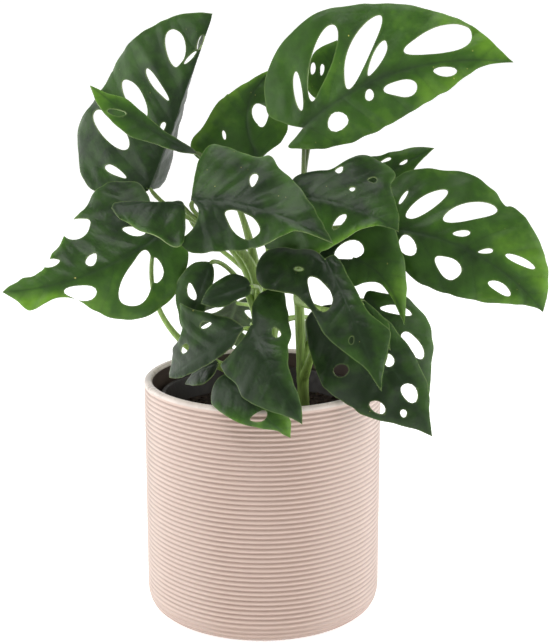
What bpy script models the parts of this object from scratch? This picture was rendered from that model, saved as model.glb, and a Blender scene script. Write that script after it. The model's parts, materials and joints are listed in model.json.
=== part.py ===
"""Monstera adansonii in its grower's pot and a ribbed cover pot, modelled for Blender 4.5.

Metres, +Z up. The origin is the middle of the cover pot's foot, on the surface it stands on,
and -Y is the front.
"""
import math
from typing import NamedTuple

import bmesh
import bpy
import numpy as np
from mathutils import Vector
from mathutils.geometry import delaunay_2d_cdt

MM = 0.001
GAP = 0.3                   # clearance where two pieces touch, mm

# Cover pot, mm
POT_RADIUS = 70.0           # over the ribs
POT_HEIGHT = 138.0
POT_BORE = 65.2             # inside radius
POT_FLOOR = 7.0             # thickness of the bottom
POT_FOOT_ROUND = 5.0        # rounding of the bottom edge, across
POT_FOOT_RISE = 11.0        # and upwards
RIM_ROUND = 2.2             # rounding of the lip
RIM_BAND = 6.0              # plain band under the lip
RIB_COUNT = 46
RIB_DEPTH = 0.8
POT_SEGMENTS = 28

# Grower's pot, mm
GROWER_TOP = 60.5           # radius at the rim
GROWER_FOOT = 45.0
GROWER_HEIGHT = 121.0
GROWER_WALL = 1.0
GROWER_LIP = 2.0            # how far the rolled rim stands out
DRAIN_RADIUS = 4.0
DRAIN_RING = 27.0
DRAIN_COUNT = 4

# Soil, mm
SOIL_TOP = 114.0            # above the surface the plant stands on
STEM_HOLE_DEPTH = 24.0

# Plant, mm
BLADE = 0.7                 # thickness of a leaf
HOLE_SIDES = (6, 8)         # of a small and of a large hole
OUTLINE_STEPS = 2           # points from one outline point to the next
INNER_STEP = 13.0           # spacing of the points inside a blade
STEM_RADIUS = 3.4
PETIOLE_FOOT = 2.0          # radius where a petiole leaves the stem
PETIOLE_TOP = 1.3
PETIOLE_POINTS = 6


class Stem(NamedTuple):
    """One rooted stem: where it leaves the soil and where it ends, mm."""
    foot: tuple
    top: tuple


class Leaf(NamedTuple):
    """A blade and its petiole.

    base and tip are the ends of the midrib and face is the way the upper side looks, in mm.
    arch lifts the middle of the midrib towards the upper side and sweep bows it to the left.
    Each fold gives a half's angle to the blade at the base and at the tip, and how much
    further it has turned at its edge, in degrees. Outlines and holes are in fractions of
    the midrib: along it and away from it. A hole runs from one end to the other with a
    width, and its left side is positive.
    """
    stem: str
    rise: float             # height at which the petiole leaves the stem
    base: tuple
    tip: tuple
    face: tuple
    arch: float
    sweep: float
    left_fold: tuple
    right_fold: tuple
    left: tuple
    right: tuple
    holes: tuple = ()
    via: tuple = ()         # one or two points that pull the petiole's curve aside
    at_notch: bool = False  # the petiole meets the blade's edge, and its underside otherwise


STEMS = {
    "stem_left": Stem((-2, -4), (-3, -7, 200)),
    "stem_right": Stem((24.5, -15), (19.5, -15, 214)),
    "stem_back": Stem((6, 26), (6, 30, 172)),
}

LEAVES = {
    "leaf_upper_left": Leaf(
        "stem_left", 184, (-66, 12, 247), (-28, 22, 347), (-0.25, -1, 0.25), -4, 1,
        (0, 0, -25), (-90, -122, 0),
        ((-0.05, 0.06), (-0.10, 0.22), (-0.08, 0.38), (0.03, 0.51), (0.20, 0.60), (0.36, 0.55),
         (0.55, 0.50), (0.70, 0.43), (0.82, 0.33), (0.92, 0.20), (0.98, 0.07)),
        ((0.02, 0.08), (0.06, 0.18), (0.14, 0.26), (0.26, 0.29), (0.40, 0.26), (0.55, 0.22),
         (0.72, 0.16), (0.87, 0.09)),
        ((0.67, 0.08, 0.85, 0.20, 0.11), (0.49, 0.08, 0.60, 0.27, 0.05),
         (0.36, 0.15, 0.51, 0.40, 0.09), (0.17, 0.20, 0.30, 0.49, 0.12),
         (0.02, 0.15, 0.05, 0.31, 0.04), (0.31, 0.05, 0.37, 0.05, 0.03)),
        via=((-14, 4, 232), (-52, 12, 226)),
        at_notch=True,
    ),
    "leaf_young_left": Leaf(
        "stem_left", 196, (-36, -8, 270), (-94, -22, 309), (-0.1, -0.8, 0.6), 2, 4,
        (0, 0, 0), (0, 0, 0),
        ((0.11, 0.04), (0.23, 0.07), (0.40, 0.10), (0.55, 0.15), (0.71, 0.13), (0.85, 0.09),
         (0.94, 0.04)),
        ((0.08, 0.03), (0.32, 0.05), (0.50, 0.08), (0.72, 0.10), (0.85, 0.05), (0.94, 0.02)),
        ((0.66, 0.01, 0.78, 0.08, 0.06),),
        via=((-8, -6, 236), (-22, 0, 262)),
    ),
    "leaf_behind_centre": Leaf(
        "stem_back", 168, (-2, 40, 261), (13, 46, 318), (-0.1, -1, 0.3), 4, 14,
        (0, 0, -15), (0, 0, -10),
        ((0.03, 0.16), (0.07, 0.35), (0.14, 0.54), (0.21, 0.62), (0.27, 0.56), (0.33, 0.45),
         (0.45, 0.31), (0.61, 0.16), (0.73, 0.08), (0.88, 0.03)),
        ((0.02, 0.12), (0.05, 0.28), (0.16, 0.40), (0.45, 0.45), (0.73, 0.43), (0.90, 0.31),
         (0.97, 0.17)),
        ((0.27, -0.15, 0.58, -0.13, 0.16), (0.29, 0.25, 0.23, 0.24, 0.04)),
        via=((12, 30, 222), (1.5, 38.5, 247)),
        at_notch=True,
    ),
    "leaf_top_right": Leaf(
        "stem_right", 208, (23, 8, 283), (138, -20, 321), (0.1, -1, 0.35), 6, 13,
        (5, 0, -15), (-5, -10, -15),
        ((-0.05, 0.07), (-0.08, 0.15), (-0.05, 0.24), (0.04, 0.33), (0.15, 0.39), (0.28, 0.41),
         (0.41, 0.37), (0.54, 0.31), (0.66, 0.25), (0.77, 0.19), (0.88, 0.11), (0.95, 0.04)),
        ((-0.05, 0.01), (-0.10, 0.02), (-0.07, 0.06), (0.02, 0.14), (0.13, 0.19), (0.24, 0.21),
         (0.36, 0.21), (0.50, 0.19), (0.62, 0.16), (0.73, 0.12), (0.82, 0.06), (0.90, 0.02)),
        ((0.04, 0.06, 0.11, 0.22, 0.04), (0.11, 0.06, 0.32, 0.33, 0.09),
         (0.26, 0.03, 0.48, 0.27, 0.10), (0.37, 0.03, 0.49, 0.15, 0.05),
         (0.55, 0.085, 0.80, 0.105, 0.085), (0.17, -0.04, 0.13, -0.12, 0.10),
         (0.32, -0.04, 0.36, -0.06, 0.05), (0.42, -0.06, 0.57, -0.09, 0.08),
         (0.66, -0.037, 0.76, -0.047, 0.045)),
        via=((25, -8, 238), (23, 14, 262)),
    ),
    "leaf_right": Leaf(
        "stem_right", 212, (76, -8, 227), (160, -22, 181), (0.1, -1, 0.3), 5, 9,
        (0, 0, -20), (-5, -5, -10),
        ((-0.07, 0.08), (-0.11, 0.18), (-0.07, 0.29), (0.04, 0.38), (0.17, 0.44), (0.30, 0.45),
         (0.41, 0.42), (0.50, 0.37), (0.54, 0.38), (0.66, 0.33), (0.78, 0.26), (0.88, 0.17),
         (0.95, 0.08)),
        ((-0.01, 0.06), (0.02, 0.15), (0.12, 0.25), (0.24, 0.29), (0.38, 0.29), (0.55, 0.26),
         (0.73, 0.19), (0.85, 0.10), (0.95, 0.02)),
        ((0.05, 0.06, 0.21, 0.30, 0.08), (0.24, 0.12, 0.46, 0.31, 0.11),
         (0.32, 0.05, 0.40, 0.10, 0.04), (0.49, 0.02, 0.56, 0.07, 0.03),
         (0.63, 0.09, 0.79, 0.14, 0.05), (0.04, -0.03, 0.13, -0.14, 0.09),
         (0.27, -0.11, 0.46, -0.17, 0.11), (0.64, -0.10, 0.79, -0.07, 0.06)),
    ),
    "leaf_centre_right": Leaf(
        "stem_right", 204, (24, -28, 248), (74, -48, 232), (0.1, -0.75, 0.65), 4, 1,
        (5, 0, -10), (-20, -30, -30),
        ((-0.12, 0.10), (-0.22, 0.18), (-0.17, 0.27), (0.00, 0.35), (0.12, 0.42), (0.23, 0.58),
         (0.32, 0.71), (0.45, 0.71), (0.57, 0.67), (0.69, 0.58), (0.71, 0.43), (0.83, 0.28),
         (0.93, 0.15)),
        ((-0.12, 0.20), (-0.33, 0.46), (-0.37, 0.56), (-0.20, 0.59), (0.02, 0.58), (0.23, 0.54),
         (0.42, 0.42), (0.55, 0.30), (0.68, 0.15), (0.80, 0.06), (0.92, 0.02)),
        ((0.15, 0.40, 0.23, 0.40, 0.09), (0.50, 0.37, 0.56, 0.42, 0.08),
         (0.38, 0.22, 0.43, 0.19, 0.06), (0.46, -0.08, 0.38, -0.25, 0.09)),
    ),
    "leaf_front_centre": Leaf(
        "stem_left", 192, (-39, -45, 249), (37, -72, 230), (0, -0.6, 0.8), 4, 4,
        (10, 10, 10), (-30, -20, -10),
        ((0.00, 0.08), (-0.01, 0.20), (0.00, 0.33), (0.05, 0.42), (0.13, 0.42), (0.28, 0.38),
         (0.35, 0.38), (0.40, 0.40), (0.47, 0.34), (0.57, 0.29), (0.70, 0.20), (0.85, 0.10)),
        ((0.05, 0.05), (0.06, 0.12), (0.04, 0.20), (-0.03, 0.26), (-0.03, 0.31), (0.07, 0.35),
         (0.27, 0.33), (0.45, 0.29), (0.59, 0.23), (0.67, 0.14), (0.76, 0.06), (0.88, 0.03)),
        ((0.37, 0.14, 0.36, 0.25, 0.05), (0.25, -0.08, 0.54, -0.17, 0.14)),
    ),
    "leaf_front_left": Leaf(
        "stem_left", 188, (-42, -41, 246), (-81, -52, 246), (0, -0.6, 0.8), 2, 0,
        (-10, -10, -10), (0, 0, 0),
        ((0.02, 0.24), (0.04, 0.45), (0.09, 0.62), (0.21, 0.68), (0.42, 0.57), (0.65, 0.45),
         (0.80, 0.34), (0.94, 0.17)),
        ((0.05, 0.08), (0.20, 0.05), (0.41, 0.03), (0.59, 0.06), (0.79, 0.08), (0.94, 0.08)),
    ),
    "leaf_left": Leaf(
        "stem_left", 138, (-57, -22, 227), (-146, -30, 195), (-0.15, -1, 0.25), 4, 8,
        (-5, -20, -15), (-10, -20, -15),
        ((-0.07, 0.03), (-0.09, 0.10), (-0.04, 0.21), (0.06, 0.30), (0.17, 0.36), (0.30, 0.37),
         (0.41, 0.33), (0.48, 0.27), (0.54, 0.19), (0.60, 0.12), (0.68, 0.08), (0.76, 0.09),
         (0.86, 0.12), (0.92, 0.06)),
        ((-0.03, 0.12), (-0.09, 0.25), (-0.09, 0.37), (-0.01, 0.48), (0.12, 0.49), (0.26, 0.46),
         (0.39, 0.39), (0.53, 0.30), (0.65, 0.20), (0.76, 0.10), (0.88, 0.08), (0.94, 0.05)),
        ((0.14, 0.03, 0.35, 0.28, 0.16), (0.11, 0.10, 0.16, 0.23, 0.07),
         (0.64, 0.06, 0.48, 0.12, 0.10), (0.33, -0.30, 0.56, -0.30, 0.12),
         (0.63, -0.14, 0.74, -0.13, 0.05), (0.39, -0.10, 0.47, -0.05, 0.06),
         (0.17, -0.15, 0.06, -0.06, 0.06)),
        via=((-70, -14, 156), (-68, -12, 205)),
    ),
    "leaf_low_right_behind": Leaf(
        "stem_right", 190, (21, -26, 214), (79, -40, 178), (0.2, -0.9, 0.4), 5, 16,
        (0, 0, -15), (-10, -10, 0),
        ((0.06, 0.11), (0.17, 0.18), (0.29, 0.29), (0.40, 0.40), (0.47, 0.42), (0.55, 0.35),
         (0.66, 0.24), (0.78, 0.14), (0.89, 0.06)),
        ((0.03, 0.12), (0.16, 0.17), (0.34, 0.19), (0.50, 0.20), (0.58, 0.12), (0.66, 0.05),
         (0.78, 0.03), (0.90, 0.02)),
        ((0.24, -0.03, 0.40, 0.14, 0.14),),
    ),
    "leaf_low_centre_right": Leaf(
        "stem_right", 202, (34, -46, 217), (63, -84, 152), (0.1, -1, 0.35), 6, 0,
        (0, 0, -15), (-5, -5, -10),
        ((0.00, 0.07), (0.10, 0.09), (0.31, 0.10), (0.45, 0.11), (0.58, 0.17), (0.66, 0.20),
         (0.76, 0.14), (0.88, 0.06)),
        ((-0.09, 0.04), (-0.18, 0.18), (-0.24, 0.31), (-0.21, 0.40), (-0.11, 0.47),
         (-0.01, 0.47), (0.08, 0.38), (0.20, 0.27), (0.36, 0.23), (0.53, 0.21), (0.69, 0.13),
         (0.83, 0.05), (0.93, 0.02)),
        ((0.09, -0.15, 0.37, -0.12, 0.13), (0.60, -0.05, 0.64, -0.08, 0.03)),
        via=((15, -32, 204),),
    ),
    "leaf_low_right": Leaf(
        "stem_right", 140, (40, -50, 192), (93, -66, 121), (0.05, -1, 0.15), 5, 4,
        (-10, -10, -15), (-10, -5, -10),
        ((0.04, 0.09), (0.18, 0.15), (0.38, 0.17), (0.57, 0.16), (0.74, 0.12), (0.87, 0.05)),
        ((-0.05, 0.06), (-0.08, 0.15), (-0.04, 0.23), (0.05, 0.30), (0.16, 0.36), (0.29, 0.40),
         (0.40, 0.40), (0.54, 0.36), (0.68, 0.29), (0.80, 0.19), (0.91, 0.08)),
        ((0.30, -0.30, 0.35, -0.21, 0.08), (0.61, -0.22, 0.72, -0.19, 0.07),
         (0.76, -0.09, 0.81, -0.09, 0.04), (0.63, -0.01, 0.76, 0.02, 0.09),
         (0.43, 0.03, 0.50, 0.00, 0.06)),
        via=((26, -24, 148),),
    ),
    "leaf_far_right_low": Leaf(
        "stem_right", 146, (57, -26, 190), (94, -36, 133.5), (0.3, -0.9, 0.3), 4, 2,
        (0, 0, -15), (0, 0, 0),
        ((-0.02, 0.08), (0.09, 0.19), (0.22, 0.31), (0.39, 0.35), (0.52, 0.32), (0.68, 0.23),
         (0.80, 0.14), (0.93, 0.05)),
        ((0.05, 0.09), (0.16, 0.14), (0.34, 0.12), (0.58, 0.08), (0.85, 0.03)),
        ((0.14, 0.06, 0.34, 0.25, 0.08), (0.40, 0.08, 0.68, 0.10, 0.13)),
    ),
    "leaf_curled_right": Leaf(
        "stem_right", 187, (54, -57, 195), (69, -62, 169), (0.2, -0.9, -0.3), -2, 0,
        (0, 0, 0), (0, 0, 0),
        ((0.04, 0.06), (0.27, 0.14), (0.56, 0.22), (0.73, 0.16)),
        ((0.02, 0.07), (0.18, 0.14), (0.37, 0.16), (0.54, 0.10), (0.75, 0.03)),
        via=((22, -70, 196), (42, -51, 184)),
    ),
    "leaf_front_low": Leaf(
        "stem_left", 140, (-6, -60, 184), (21, -88, 135), (-0.05, -0.9, 0.4), 6, -2,
        (-10, -10, -15), (-10, -15, -25),
        ((-0.17, 0.06), (-0.28, 0.17), (-0.31, 0.30), (-0.25, 0.37), (-0.11, 0.35), (0.05, 0.33),
         (0.22, 0.29), (0.36, 0.21), (0.47, 0.16), (0.63, 0.13), (0.76, 0.11), (0.89, 0.07)),
        ((0.05, 0.07), (0.12, 0.17), (0.16, 0.29), (0.19, 0.41), (0.29, 0.40), (0.44, 0.36),
         (0.57, 0.33), (0.67, 0.27), (0.78, 0.18), (0.88, 0.08), (0.95, 0.03)),
        ((0.10, 0.17, 0.21, 0.18, 0.07),),
    ),
    "leaf_over_rim": Leaf(
        "stem_left", 134, (-20, -60, 156), (15, -80, 125), (-0.1, -0.85, 0.5), 8, -3,
        (-5, -5, -5), (-15, -15, -20),
        ((0.12, 0.11), (0.44, 0.19), (0.71, 0.21), (0.88, 0.17), (0.95, 0.09)),
        ((-0.02, 0.12), (0.01, 0.25), (0.12, 0.33), (0.22, 0.32), (0.40, 0.27), (0.61, 0.19),
         (0.73, 0.11), (0.85, 0.03), (0.93, 0.02)),
        ((0.58, -0.13, 0.67, 0.05, 0.10),),
    ),
    "leaf_low_left": Leaf(
        "stem_left", 144, (-10, -62, 182), (-53, -40, 148), (-0.1, -0.75, 0.65), 6, 4,
        (-15, -15, -20), (0, 0, 0),
        ((0.08, 0.04), (0.15, 0.08), (0.26, 0.10), (0.39, 0.11), (0.53, 0.10), (0.68, 0.09),
         (0.87, 0.06)),
        ((0.05, 0.16), (0.15, 0.27), (0.25, 0.36), (0.38, 0.46), (0.50, 0.56), (0.58, 0.60),
         (0.63, 0.50), (0.65, 0.38), (0.70, 0.30), (0.79, 0.29), (0.92, 0.24), (0.98, 0.10)),
        ((0.60, -0.15, 0.73, -0.18, 0.09), (0.26, -0.24, 0.41, -0.29, 0.06)),
    ),
    "leaf_inside_left": Leaf(
        "stem_left", 130, (-25, -38, 156), (-45, -28, 141), (0, -0.5, 0.85), 2, 0,
        (0, 0, 0), (0, 0, 0),
        ((0.10, 0.30), (0.30, 0.42), (0.60, 0.34), (0.85, 0.15)),
        ((0.10, 0.15), (0.40, 0.20), (0.75, 0.10)),
    ),
    "leaf_small_centre": Leaf(
        "stem_left", 176, (-6, -50, 203), (-34, -52, 193), (0, -0.9, 0.5), 2, 0,
        (0, 0, -10), (0, 0, -10),
        ((0.09, 0.17), (0.28, 0.18), (0.53, 0.23), (0.77, 0.19)),
        ((0.05, 0.18), (0.21, 0.31), (0.40, 0.31), (0.64, 0.28), (0.82, 0.18)),
    ),
    "leaf_behind_right": Leaf(
        "stem_right", 208, (60, 20, 246), (100, 15, 271), (0, -0.8, 0.6), 2, 0,
        (0, 0, 0), (0, 0, 0),
        ((-0.01, 0.24), (0.18, 0.34), (0.38, 0.28), (0.60, 0.19), (0.70, 0.17), (0.86, 0.10)),
        ((0.23, 0.16), (0.45, 0.16), (0.61, 0.14), (0.78, 0.07), (0.90, 0.03)),
        ((0.34, 0.19, 0.48, 0.15, 0.05), (0.53, 0.02, 0.65, 0.02, 0.04)),
    ),
    "leaf_narrow_left": Leaf(
        "stem_left", 166, (-29, -30, 212), (-43, -28, 170), (-0.2, -1, 0.1), 3, 0,
        (0, 0, 0), (0, 0, -10),
        ((0.08, 0.08), (0.30, 0.13), (0.60, 0.14), (0.91, 0.06)),
        ((0.07, 0.19), (0.25, 0.29), (0.40, 0.33), (0.53, 0.30), (0.74, 0.20), (0.92, 0.10)),
        ((0.34, -0.16, 0.53, -0.04, 0.11),),
    ),
    "leaf_small_behind_top": Leaf(
        "stem_right", 212, (35, 35, 296), (44, 35, 332), (0, -1, 0.2), 2, 0,
        (0, 0, 0), (0, 0, 0),
        ((0.06, 0.18), (0.20, 0.30), (0.52, 0.33), (0.77, 0.27), (0.92, 0.11)),
        ((0.19, 0.08), (0.54, 0.09), (0.86, 0.07)),
        ((0.38, 0.24, 0.57, 0.28, 0.08), (0.40, 0.10, 0.59, 0.13, 0.06)),
        via=((22, 2, 250), (26, 26, 275)),
        at_notch=True,
    ),
}

EVEN_LEFT = ((-0.08, 0.12), (-0.10, 0.24), (0.00, 0.34), (0.16, 0.38), (0.34, 0.36),
             (0.55, 0.28), (0.75, 0.16), (0.90, 0.05))
EVEN_HOLES = ((0.08, 0.09, 0.17, 0.24, 0.07), (0.26, 0.07, 0.38, 0.25, 0.08),
              (0.46, 0.06, 0.56, 0.18, 0.07), (0.10, -0.08, 0.20, -0.24, 0.08),
              (0.30, -0.07, 0.42, -0.24, 0.08), (0.52, -0.06, 0.62, -0.16, 0.06))


def even_leaf(rise, base, tip, face, arch, fold, wide=1.0):
    """A leaf of the common shape, with the same outline and holes on both halves."""
    outline = tuple((along, across * wide) for along, across in EVEN_LEFT)
    holes = tuple((a, b * wide, c, d * wide, w * wide) for a, b, c, d, w in EVEN_HOLES)
    return Leaf("stem_back", rise, base, tip, face, arch, 0, fold, fold, outline, outline, holes)


LEAVES["leaf_back_centre"] = even_leaf(
    168, (0, 58, 238), (-6, 130, 227), (0, 0.22, 0.97), 4, (-8, -8, -15))
LEAVES["leaf_back_right"] = even_leaf(
    166, (44, 46, 231), (76, 110, 219), (0.05, 0.25, 0.97), 3, (-8, -8, -15), 0.9)
LEAVES["leaf_back_left"] = even_leaf(
    164, (-44, 46, 227), (-78, 106, 215), (-0.1, 0.25, 0.97), 3, (-8, -8, -15), 0.8)
LEAVES["leaf_back_low_left"] = even_leaf(
    158, (-16, 74, 168), (-32, 108, 96), (-0.1, 0.9, 0.4), 6, (-5, -5, -15))
LEAVES["leaf_back_low_right"] = even_leaf(
    154, (48, 64, 160), (76, 96, 100), (0.2, 0.9, 0.4), 6, (-5, -5, -15))


def clear_scene():
    """Empties the scene that the script starts in."""
    for obj in list(bpy.data.objects):
        bpy.data.objects.remove(obj, do_unlink=True)


def new_collection(name):
    collection = bpy.data.collections.new(name)
    bpy.context.scene.collection.children.link(collection)
    return collection


def material(name, colour, roughness, metallic=0.0):
    """A Principled material of one colour."""
    made = bpy.data.materials.new(name)
    made.use_nodes = True
    shader = made.node_tree.nodes["Principled BSDF"]
    shader.inputs["Base Color"].default_value = (*colour, 1.0)
    shader.inputs["Roughness"].default_value = roughness
    shader.inputs["Metallic"].default_value = metallic
    made.diffuse_color = (*colour, 1.0)
    return made


def link_mesh(name, mesh, collection, finish=None):
    obj = bpy.data.objects.new(name, mesh)
    collection.objects.link(obj)
    if finish:
        mesh.materials.append(finish)
    return obj


def evaluated_mesh(obj):
    """The object's mesh with its modifiers applied."""
    graph = bpy.context.evaluated_depsgraph_get()
    return bpy.data.meshes.new_from_object(obj.evaluated_get(graph), depsgraph=graph)


def turned(name, profile, segments, collection, finish):
    """A solid turned about Z from a profile of (radius, height) in mm, outer side downwards."""
    mesh = bpy.data.meshes.new(name)
    points = [(radius * MM, 0.0, height * MM) for radius, height in profile]
    mesh.from_pydata(points, [(i, i + 1) for i in range(len(points) - 1)], [])
    obj = link_mesh(name, mesh, collection, finish)
    screw = obj.modifiers.new("turn", "SCREW")
    screw.steps = segments
    screw.render_steps = segments
    screw.use_merge_vertices = True
    screw.merge_threshold = 0.0001
    return obj


def arc(centre, radius, start, end, steps):
    """Points of a circular arc in the profile's plane, angles in degrees."""
    angles = [math.radians(start + (end - start) * i / steps) for i in range(steps + 1)]
    return [(centre[0] + radius * math.cos(a), centre[1] + radius * math.sin(a)) for a in angles]


def foot_radius(height):
    """Radius over the ribs at a height, drawn in towards the foot."""
    drop = max(0.0, 1 - height / POT_FOOT_RISE)
    return POT_RADIUS - POT_FOOT_ROUND * (1 - math.sqrt(1 - drop ** 2 * 0.98))


def cover_pot(collection, finish):
    """The straight ceramic pot with its fine level ribs."""
    lip = (POT_BORE + RIM_ROUND, POT_HEIGHT - RIM_ROUND)
    profile = [(0, POT_FLOOR), (POT_BORE, POT_FLOOR)]
    profile += arc(lip, RIM_ROUND, 180, 90, 3)
    outer = (POT_RADIUS - RIM_ROUND, POT_HEIGHT - RIM_ROUND)
    profile += arc(outer, RIM_ROUND, 90, 0, 3)
    top = POT_HEIGHT - RIM_BAND
    pitch = (top - 1.5) / RIB_COUNT
    for rib in range(RIB_COUNT):
        height = top - rib * pitch
        profile.append((foot_radius(height), height))
        profile.append((foot_radius(height) - RIB_DEPTH, height - pitch * 0.5))
    profile += [(foot_radius(0) + 0.6, 0.6), (foot_radius(0), 0), (0, 0)]
    pot = turned("cover_pot", profile, POT_SEGMENTS, collection, finish)
    return pot


def grower_profile(inset, floor, top):
    """Radius of the grower's pot at its floor and at a height, less an inset."""
    slope = (GROWER_TOP - GROWER_LIP - GROWER_FOOT) / GROWER_HEIGHT
    radius_at_floor = GROWER_FOOT + slope * floor - inset
    radius_at_top = GROWER_FOOT + slope * top - inset
    return radius_at_floor, radius_at_top


def cut_holes(obj, centres, radius, bottom, top, cutters):
    """Cuts upright round holes and keeps the result as the object's own mesh."""
    for index, (x, y) in enumerate(centres):
        mesh = bpy.data.meshes.new("cutter")
        form = bmesh.new()
        bmesh.ops.create_cone(form, cap_ends=True, segments=12, radius1=radius * MM,
                              radius2=radius * MM, depth=(top - bottom) * MM)
        form.to_mesh(mesh)
        form.free()
        cutter = link_mesh(f"{obj.name}_cutter_{index}", mesh, cutters)
        cutter.location = (x * MM, y * MM, (top + bottom) * 0.5 * MM)
        cutter.hide_render = True
        cutter.display_type = "WIRE"
        cut = obj.modifiers.new("hole", "BOOLEAN")
        cut.operation = "DIFFERENCE"
        cut.object = cutter


def grower_pot(collection, cutters, finish):
    """The thin plastic pot that holds the roots, standing on the cover pot's floor."""
    base = POT_FLOOR + GAP
    foot_out, top_out = grower_profile(0, 0, GROWER_HEIGHT)
    foot_in, top_in = grower_profile(GROWER_WALL, GROWER_WALL, GROWER_HEIGHT)
    rim = base + GROWER_HEIGHT
    profile = [(0, base + GROWER_WALL), (foot_in, base + GROWER_WALL), (top_in, rim),
               (GROWER_TOP, rim), (GROWER_TOP, rim - 7), (GROWER_TOP - GROWER_WALL, rim - 7),
               (top_out, rim - 2), (foot_out, base), (0, base)]
    pot = turned("grower_pot", profile, POT_SEGMENTS, collection, finish)
    ring = [math.tau * (i + 0.5) / DRAIN_COUNT for i in range(DRAIN_COUNT)]
    centres = [(DRAIN_RING * math.cos(a), DRAIN_RING * math.sin(a)) for a in ring]
    cut_holes(pot, centres, DRAIN_RADIUS, base - 2, base + GROWER_WALL + 2, cutters)
    return pot


def soil(collection, cutters, finish):
    """The root ball: the inside of the grower's pot, with a plain hole for each stem."""
    base = POT_FLOOR + GAP + GROWER_WALL + GAP
    low = base - POT_FLOOR - GAP
    foot, top = grower_profile(GROWER_WALL + GAP, low, SOIL_TOP - POT_FLOOR - GAP)
    profile = [(0, SOIL_TOP + 1.5), (top * 0.5, SOIL_TOP + 1), (top, SOIL_TOP), (foot, base),
               (0, base)]
    ball = turned("soil", profile, POT_SEGMENTS, collection, finish)
    centres = [stem.foot for stem in STEMS.values()]
    bottom = SOIL_TOP - STEM_HOLE_DEPTH
    cut_holes(ball, centres, STEM_RADIUS + GAP, bottom, SOIL_TOP + 6, cutters)
    return ball


def unit(vector):
    return vector / np.linalg.norm(vector)


def leaf_axes(leaf):
    """Base, midrib direction, left side, upper side and midrib length of a leaf, mm."""
    base = np.array(leaf.base, float)
    along = np.array(leaf.tip, float) - base
    length = np.linalg.norm(along)
    along = along / length
    face = np.array(leaf.face, float)
    up = unit(face - face.dot(along) * along)
    return base, along, np.cross(up, along), up, length


def half_angle(leaf, part, along, across):
    """Each point's fold angle at the midrib, and its turn per mm away from it."""
    sides = np.array([leaf.left_fold, leaf.right_fold], float)[(across < 0).astype(int)]
    start = np.radians(sides[:, 0] + (sides[:, 1] - sides[:, 0]) * along)
    turn = np.radians(sides[:, 2]) / (0.5 * part)
    return start, np.where(np.abs(turn) < 1e-6, 1e-6, turn)


def blade_points(leaf, flat):
    """Maps flat blade points, in fractions of the midrib, onto the curved leaf in mm."""
    base, along, left, up, length = leaf_axes(leaf)
    s = flat[:, 0]
    inner = np.clip(s, 0.0, 1.0)
    bow = 4 * inner * (1 - inner) + 4 * np.minimum(s, 0.0)
    spine = base + np.outer(s * length, along)
    spine += np.outer(leaf.arch * bow, up) + np.outer(leaf.sweep * bow, left)
    slope = 4 * (1 - 2 * inner)
    tangent = along * length + np.outer(leaf.arch * slope, up)
    tangent += np.outer(leaf.sweep * slope, left)
    tangent /= np.linalg.norm(tangent, axis=1)[:, None]
    normal = up - (tangent @ up)[:, None] * tangent
    normal /= np.linalg.norm(normal, axis=1)[:, None]
    side = np.cross(normal, tangent)
    width = np.abs(flat[:, 1]) * length
    start, turn = half_angle(leaf, length, inner, flat[:, 1])
    out = (np.sin(start + turn * width) - np.sin(start)) / turn
    lift = (np.cos(start) - np.cos(start + turn * width)) / turn
    return spine + side * (np.sign(flat[:, 1]) * out)[:, None] + normal * lift[:, None]


def smooth_run(points, steps):
    """A smooth run through the points, leaving out the last one."""
    padded = [points[0]] + list(points) + [points[-1]]
    run = []
    for i in range(1, len(padded) - 2):
        p0, p1, p2, p3 = (np.array(padded[i + k], float) for k in (-1, 0, 1, 2))
        for step in range(steps):
            t = step / steps
            run.append(0.5 * (2 * p1 + (p2 - p0) * t + (2 * p0 - 5 * p1 + 4 * p2 - p3) * t ** 2
                              + (3 * p1 - p0 - 3 * p2 + p3) * t ** 3))
    return run


def outline(leaf):
    """The blade's edge: down the right half from tip to base, then up the left half."""
    left = [(0, 0)] + list(leaf.left) + [(1, 0)]
    right = [(0, 0)] + [(s, -w) for s, w in leaf.right] + [(1, 0)]
    return smooth_run(right, OUTLINE_STEPS) + smooth_run(left[::-1], OUTLINE_STEPS)


def hole_edge(hole, length):
    """An oblong hole, rounder towards the leaf's edge, as a loop of flat points."""
    start, end = np.array(hole[:2], float), np.array(hole[2:4], float)
    sides = HOLE_SIDES[int(np.linalg.norm(end - start) * length > 9)]
    axis = (end - start) * 0.5
    across = unit(np.array([-axis[1], axis[0]])) * hole[4] * 0.5
    loop = []
    for i in range(sides):
        angle = math.tau * (i + 0.5) / sides
        fuller = 1.0 + 0.15 * math.cos(angle)
        loop.append((start + end) * 0.5 + axis * math.cos(angle)
                    + across * math.sin(angle) * fuller)
    return loop


def inside(loop, point):
    """Whether a flat point lies inside a closed loop."""
    ring = np.array(loop)
    nxt = np.roll(ring, -1, axis=0)
    spans = (ring[:, 1] > point[1]) != (nxt[:, 1] > point[1])
    rise = np.where(spans, nxt[:, 1] - ring[:, 1], 1.0)
    crossing = ring[:, 0] + (point[1] - ring[:, 1]) / rise * (nxt[:, 0] - ring[:, 0])
    return bool(np.count_nonzero(spans & (point[0] < crossing)) % 2)


def edge_distance(loops, point):
    return min(np.linalg.norm(np.array(loop) - point, axis=1).min() for loop in loops)


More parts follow.
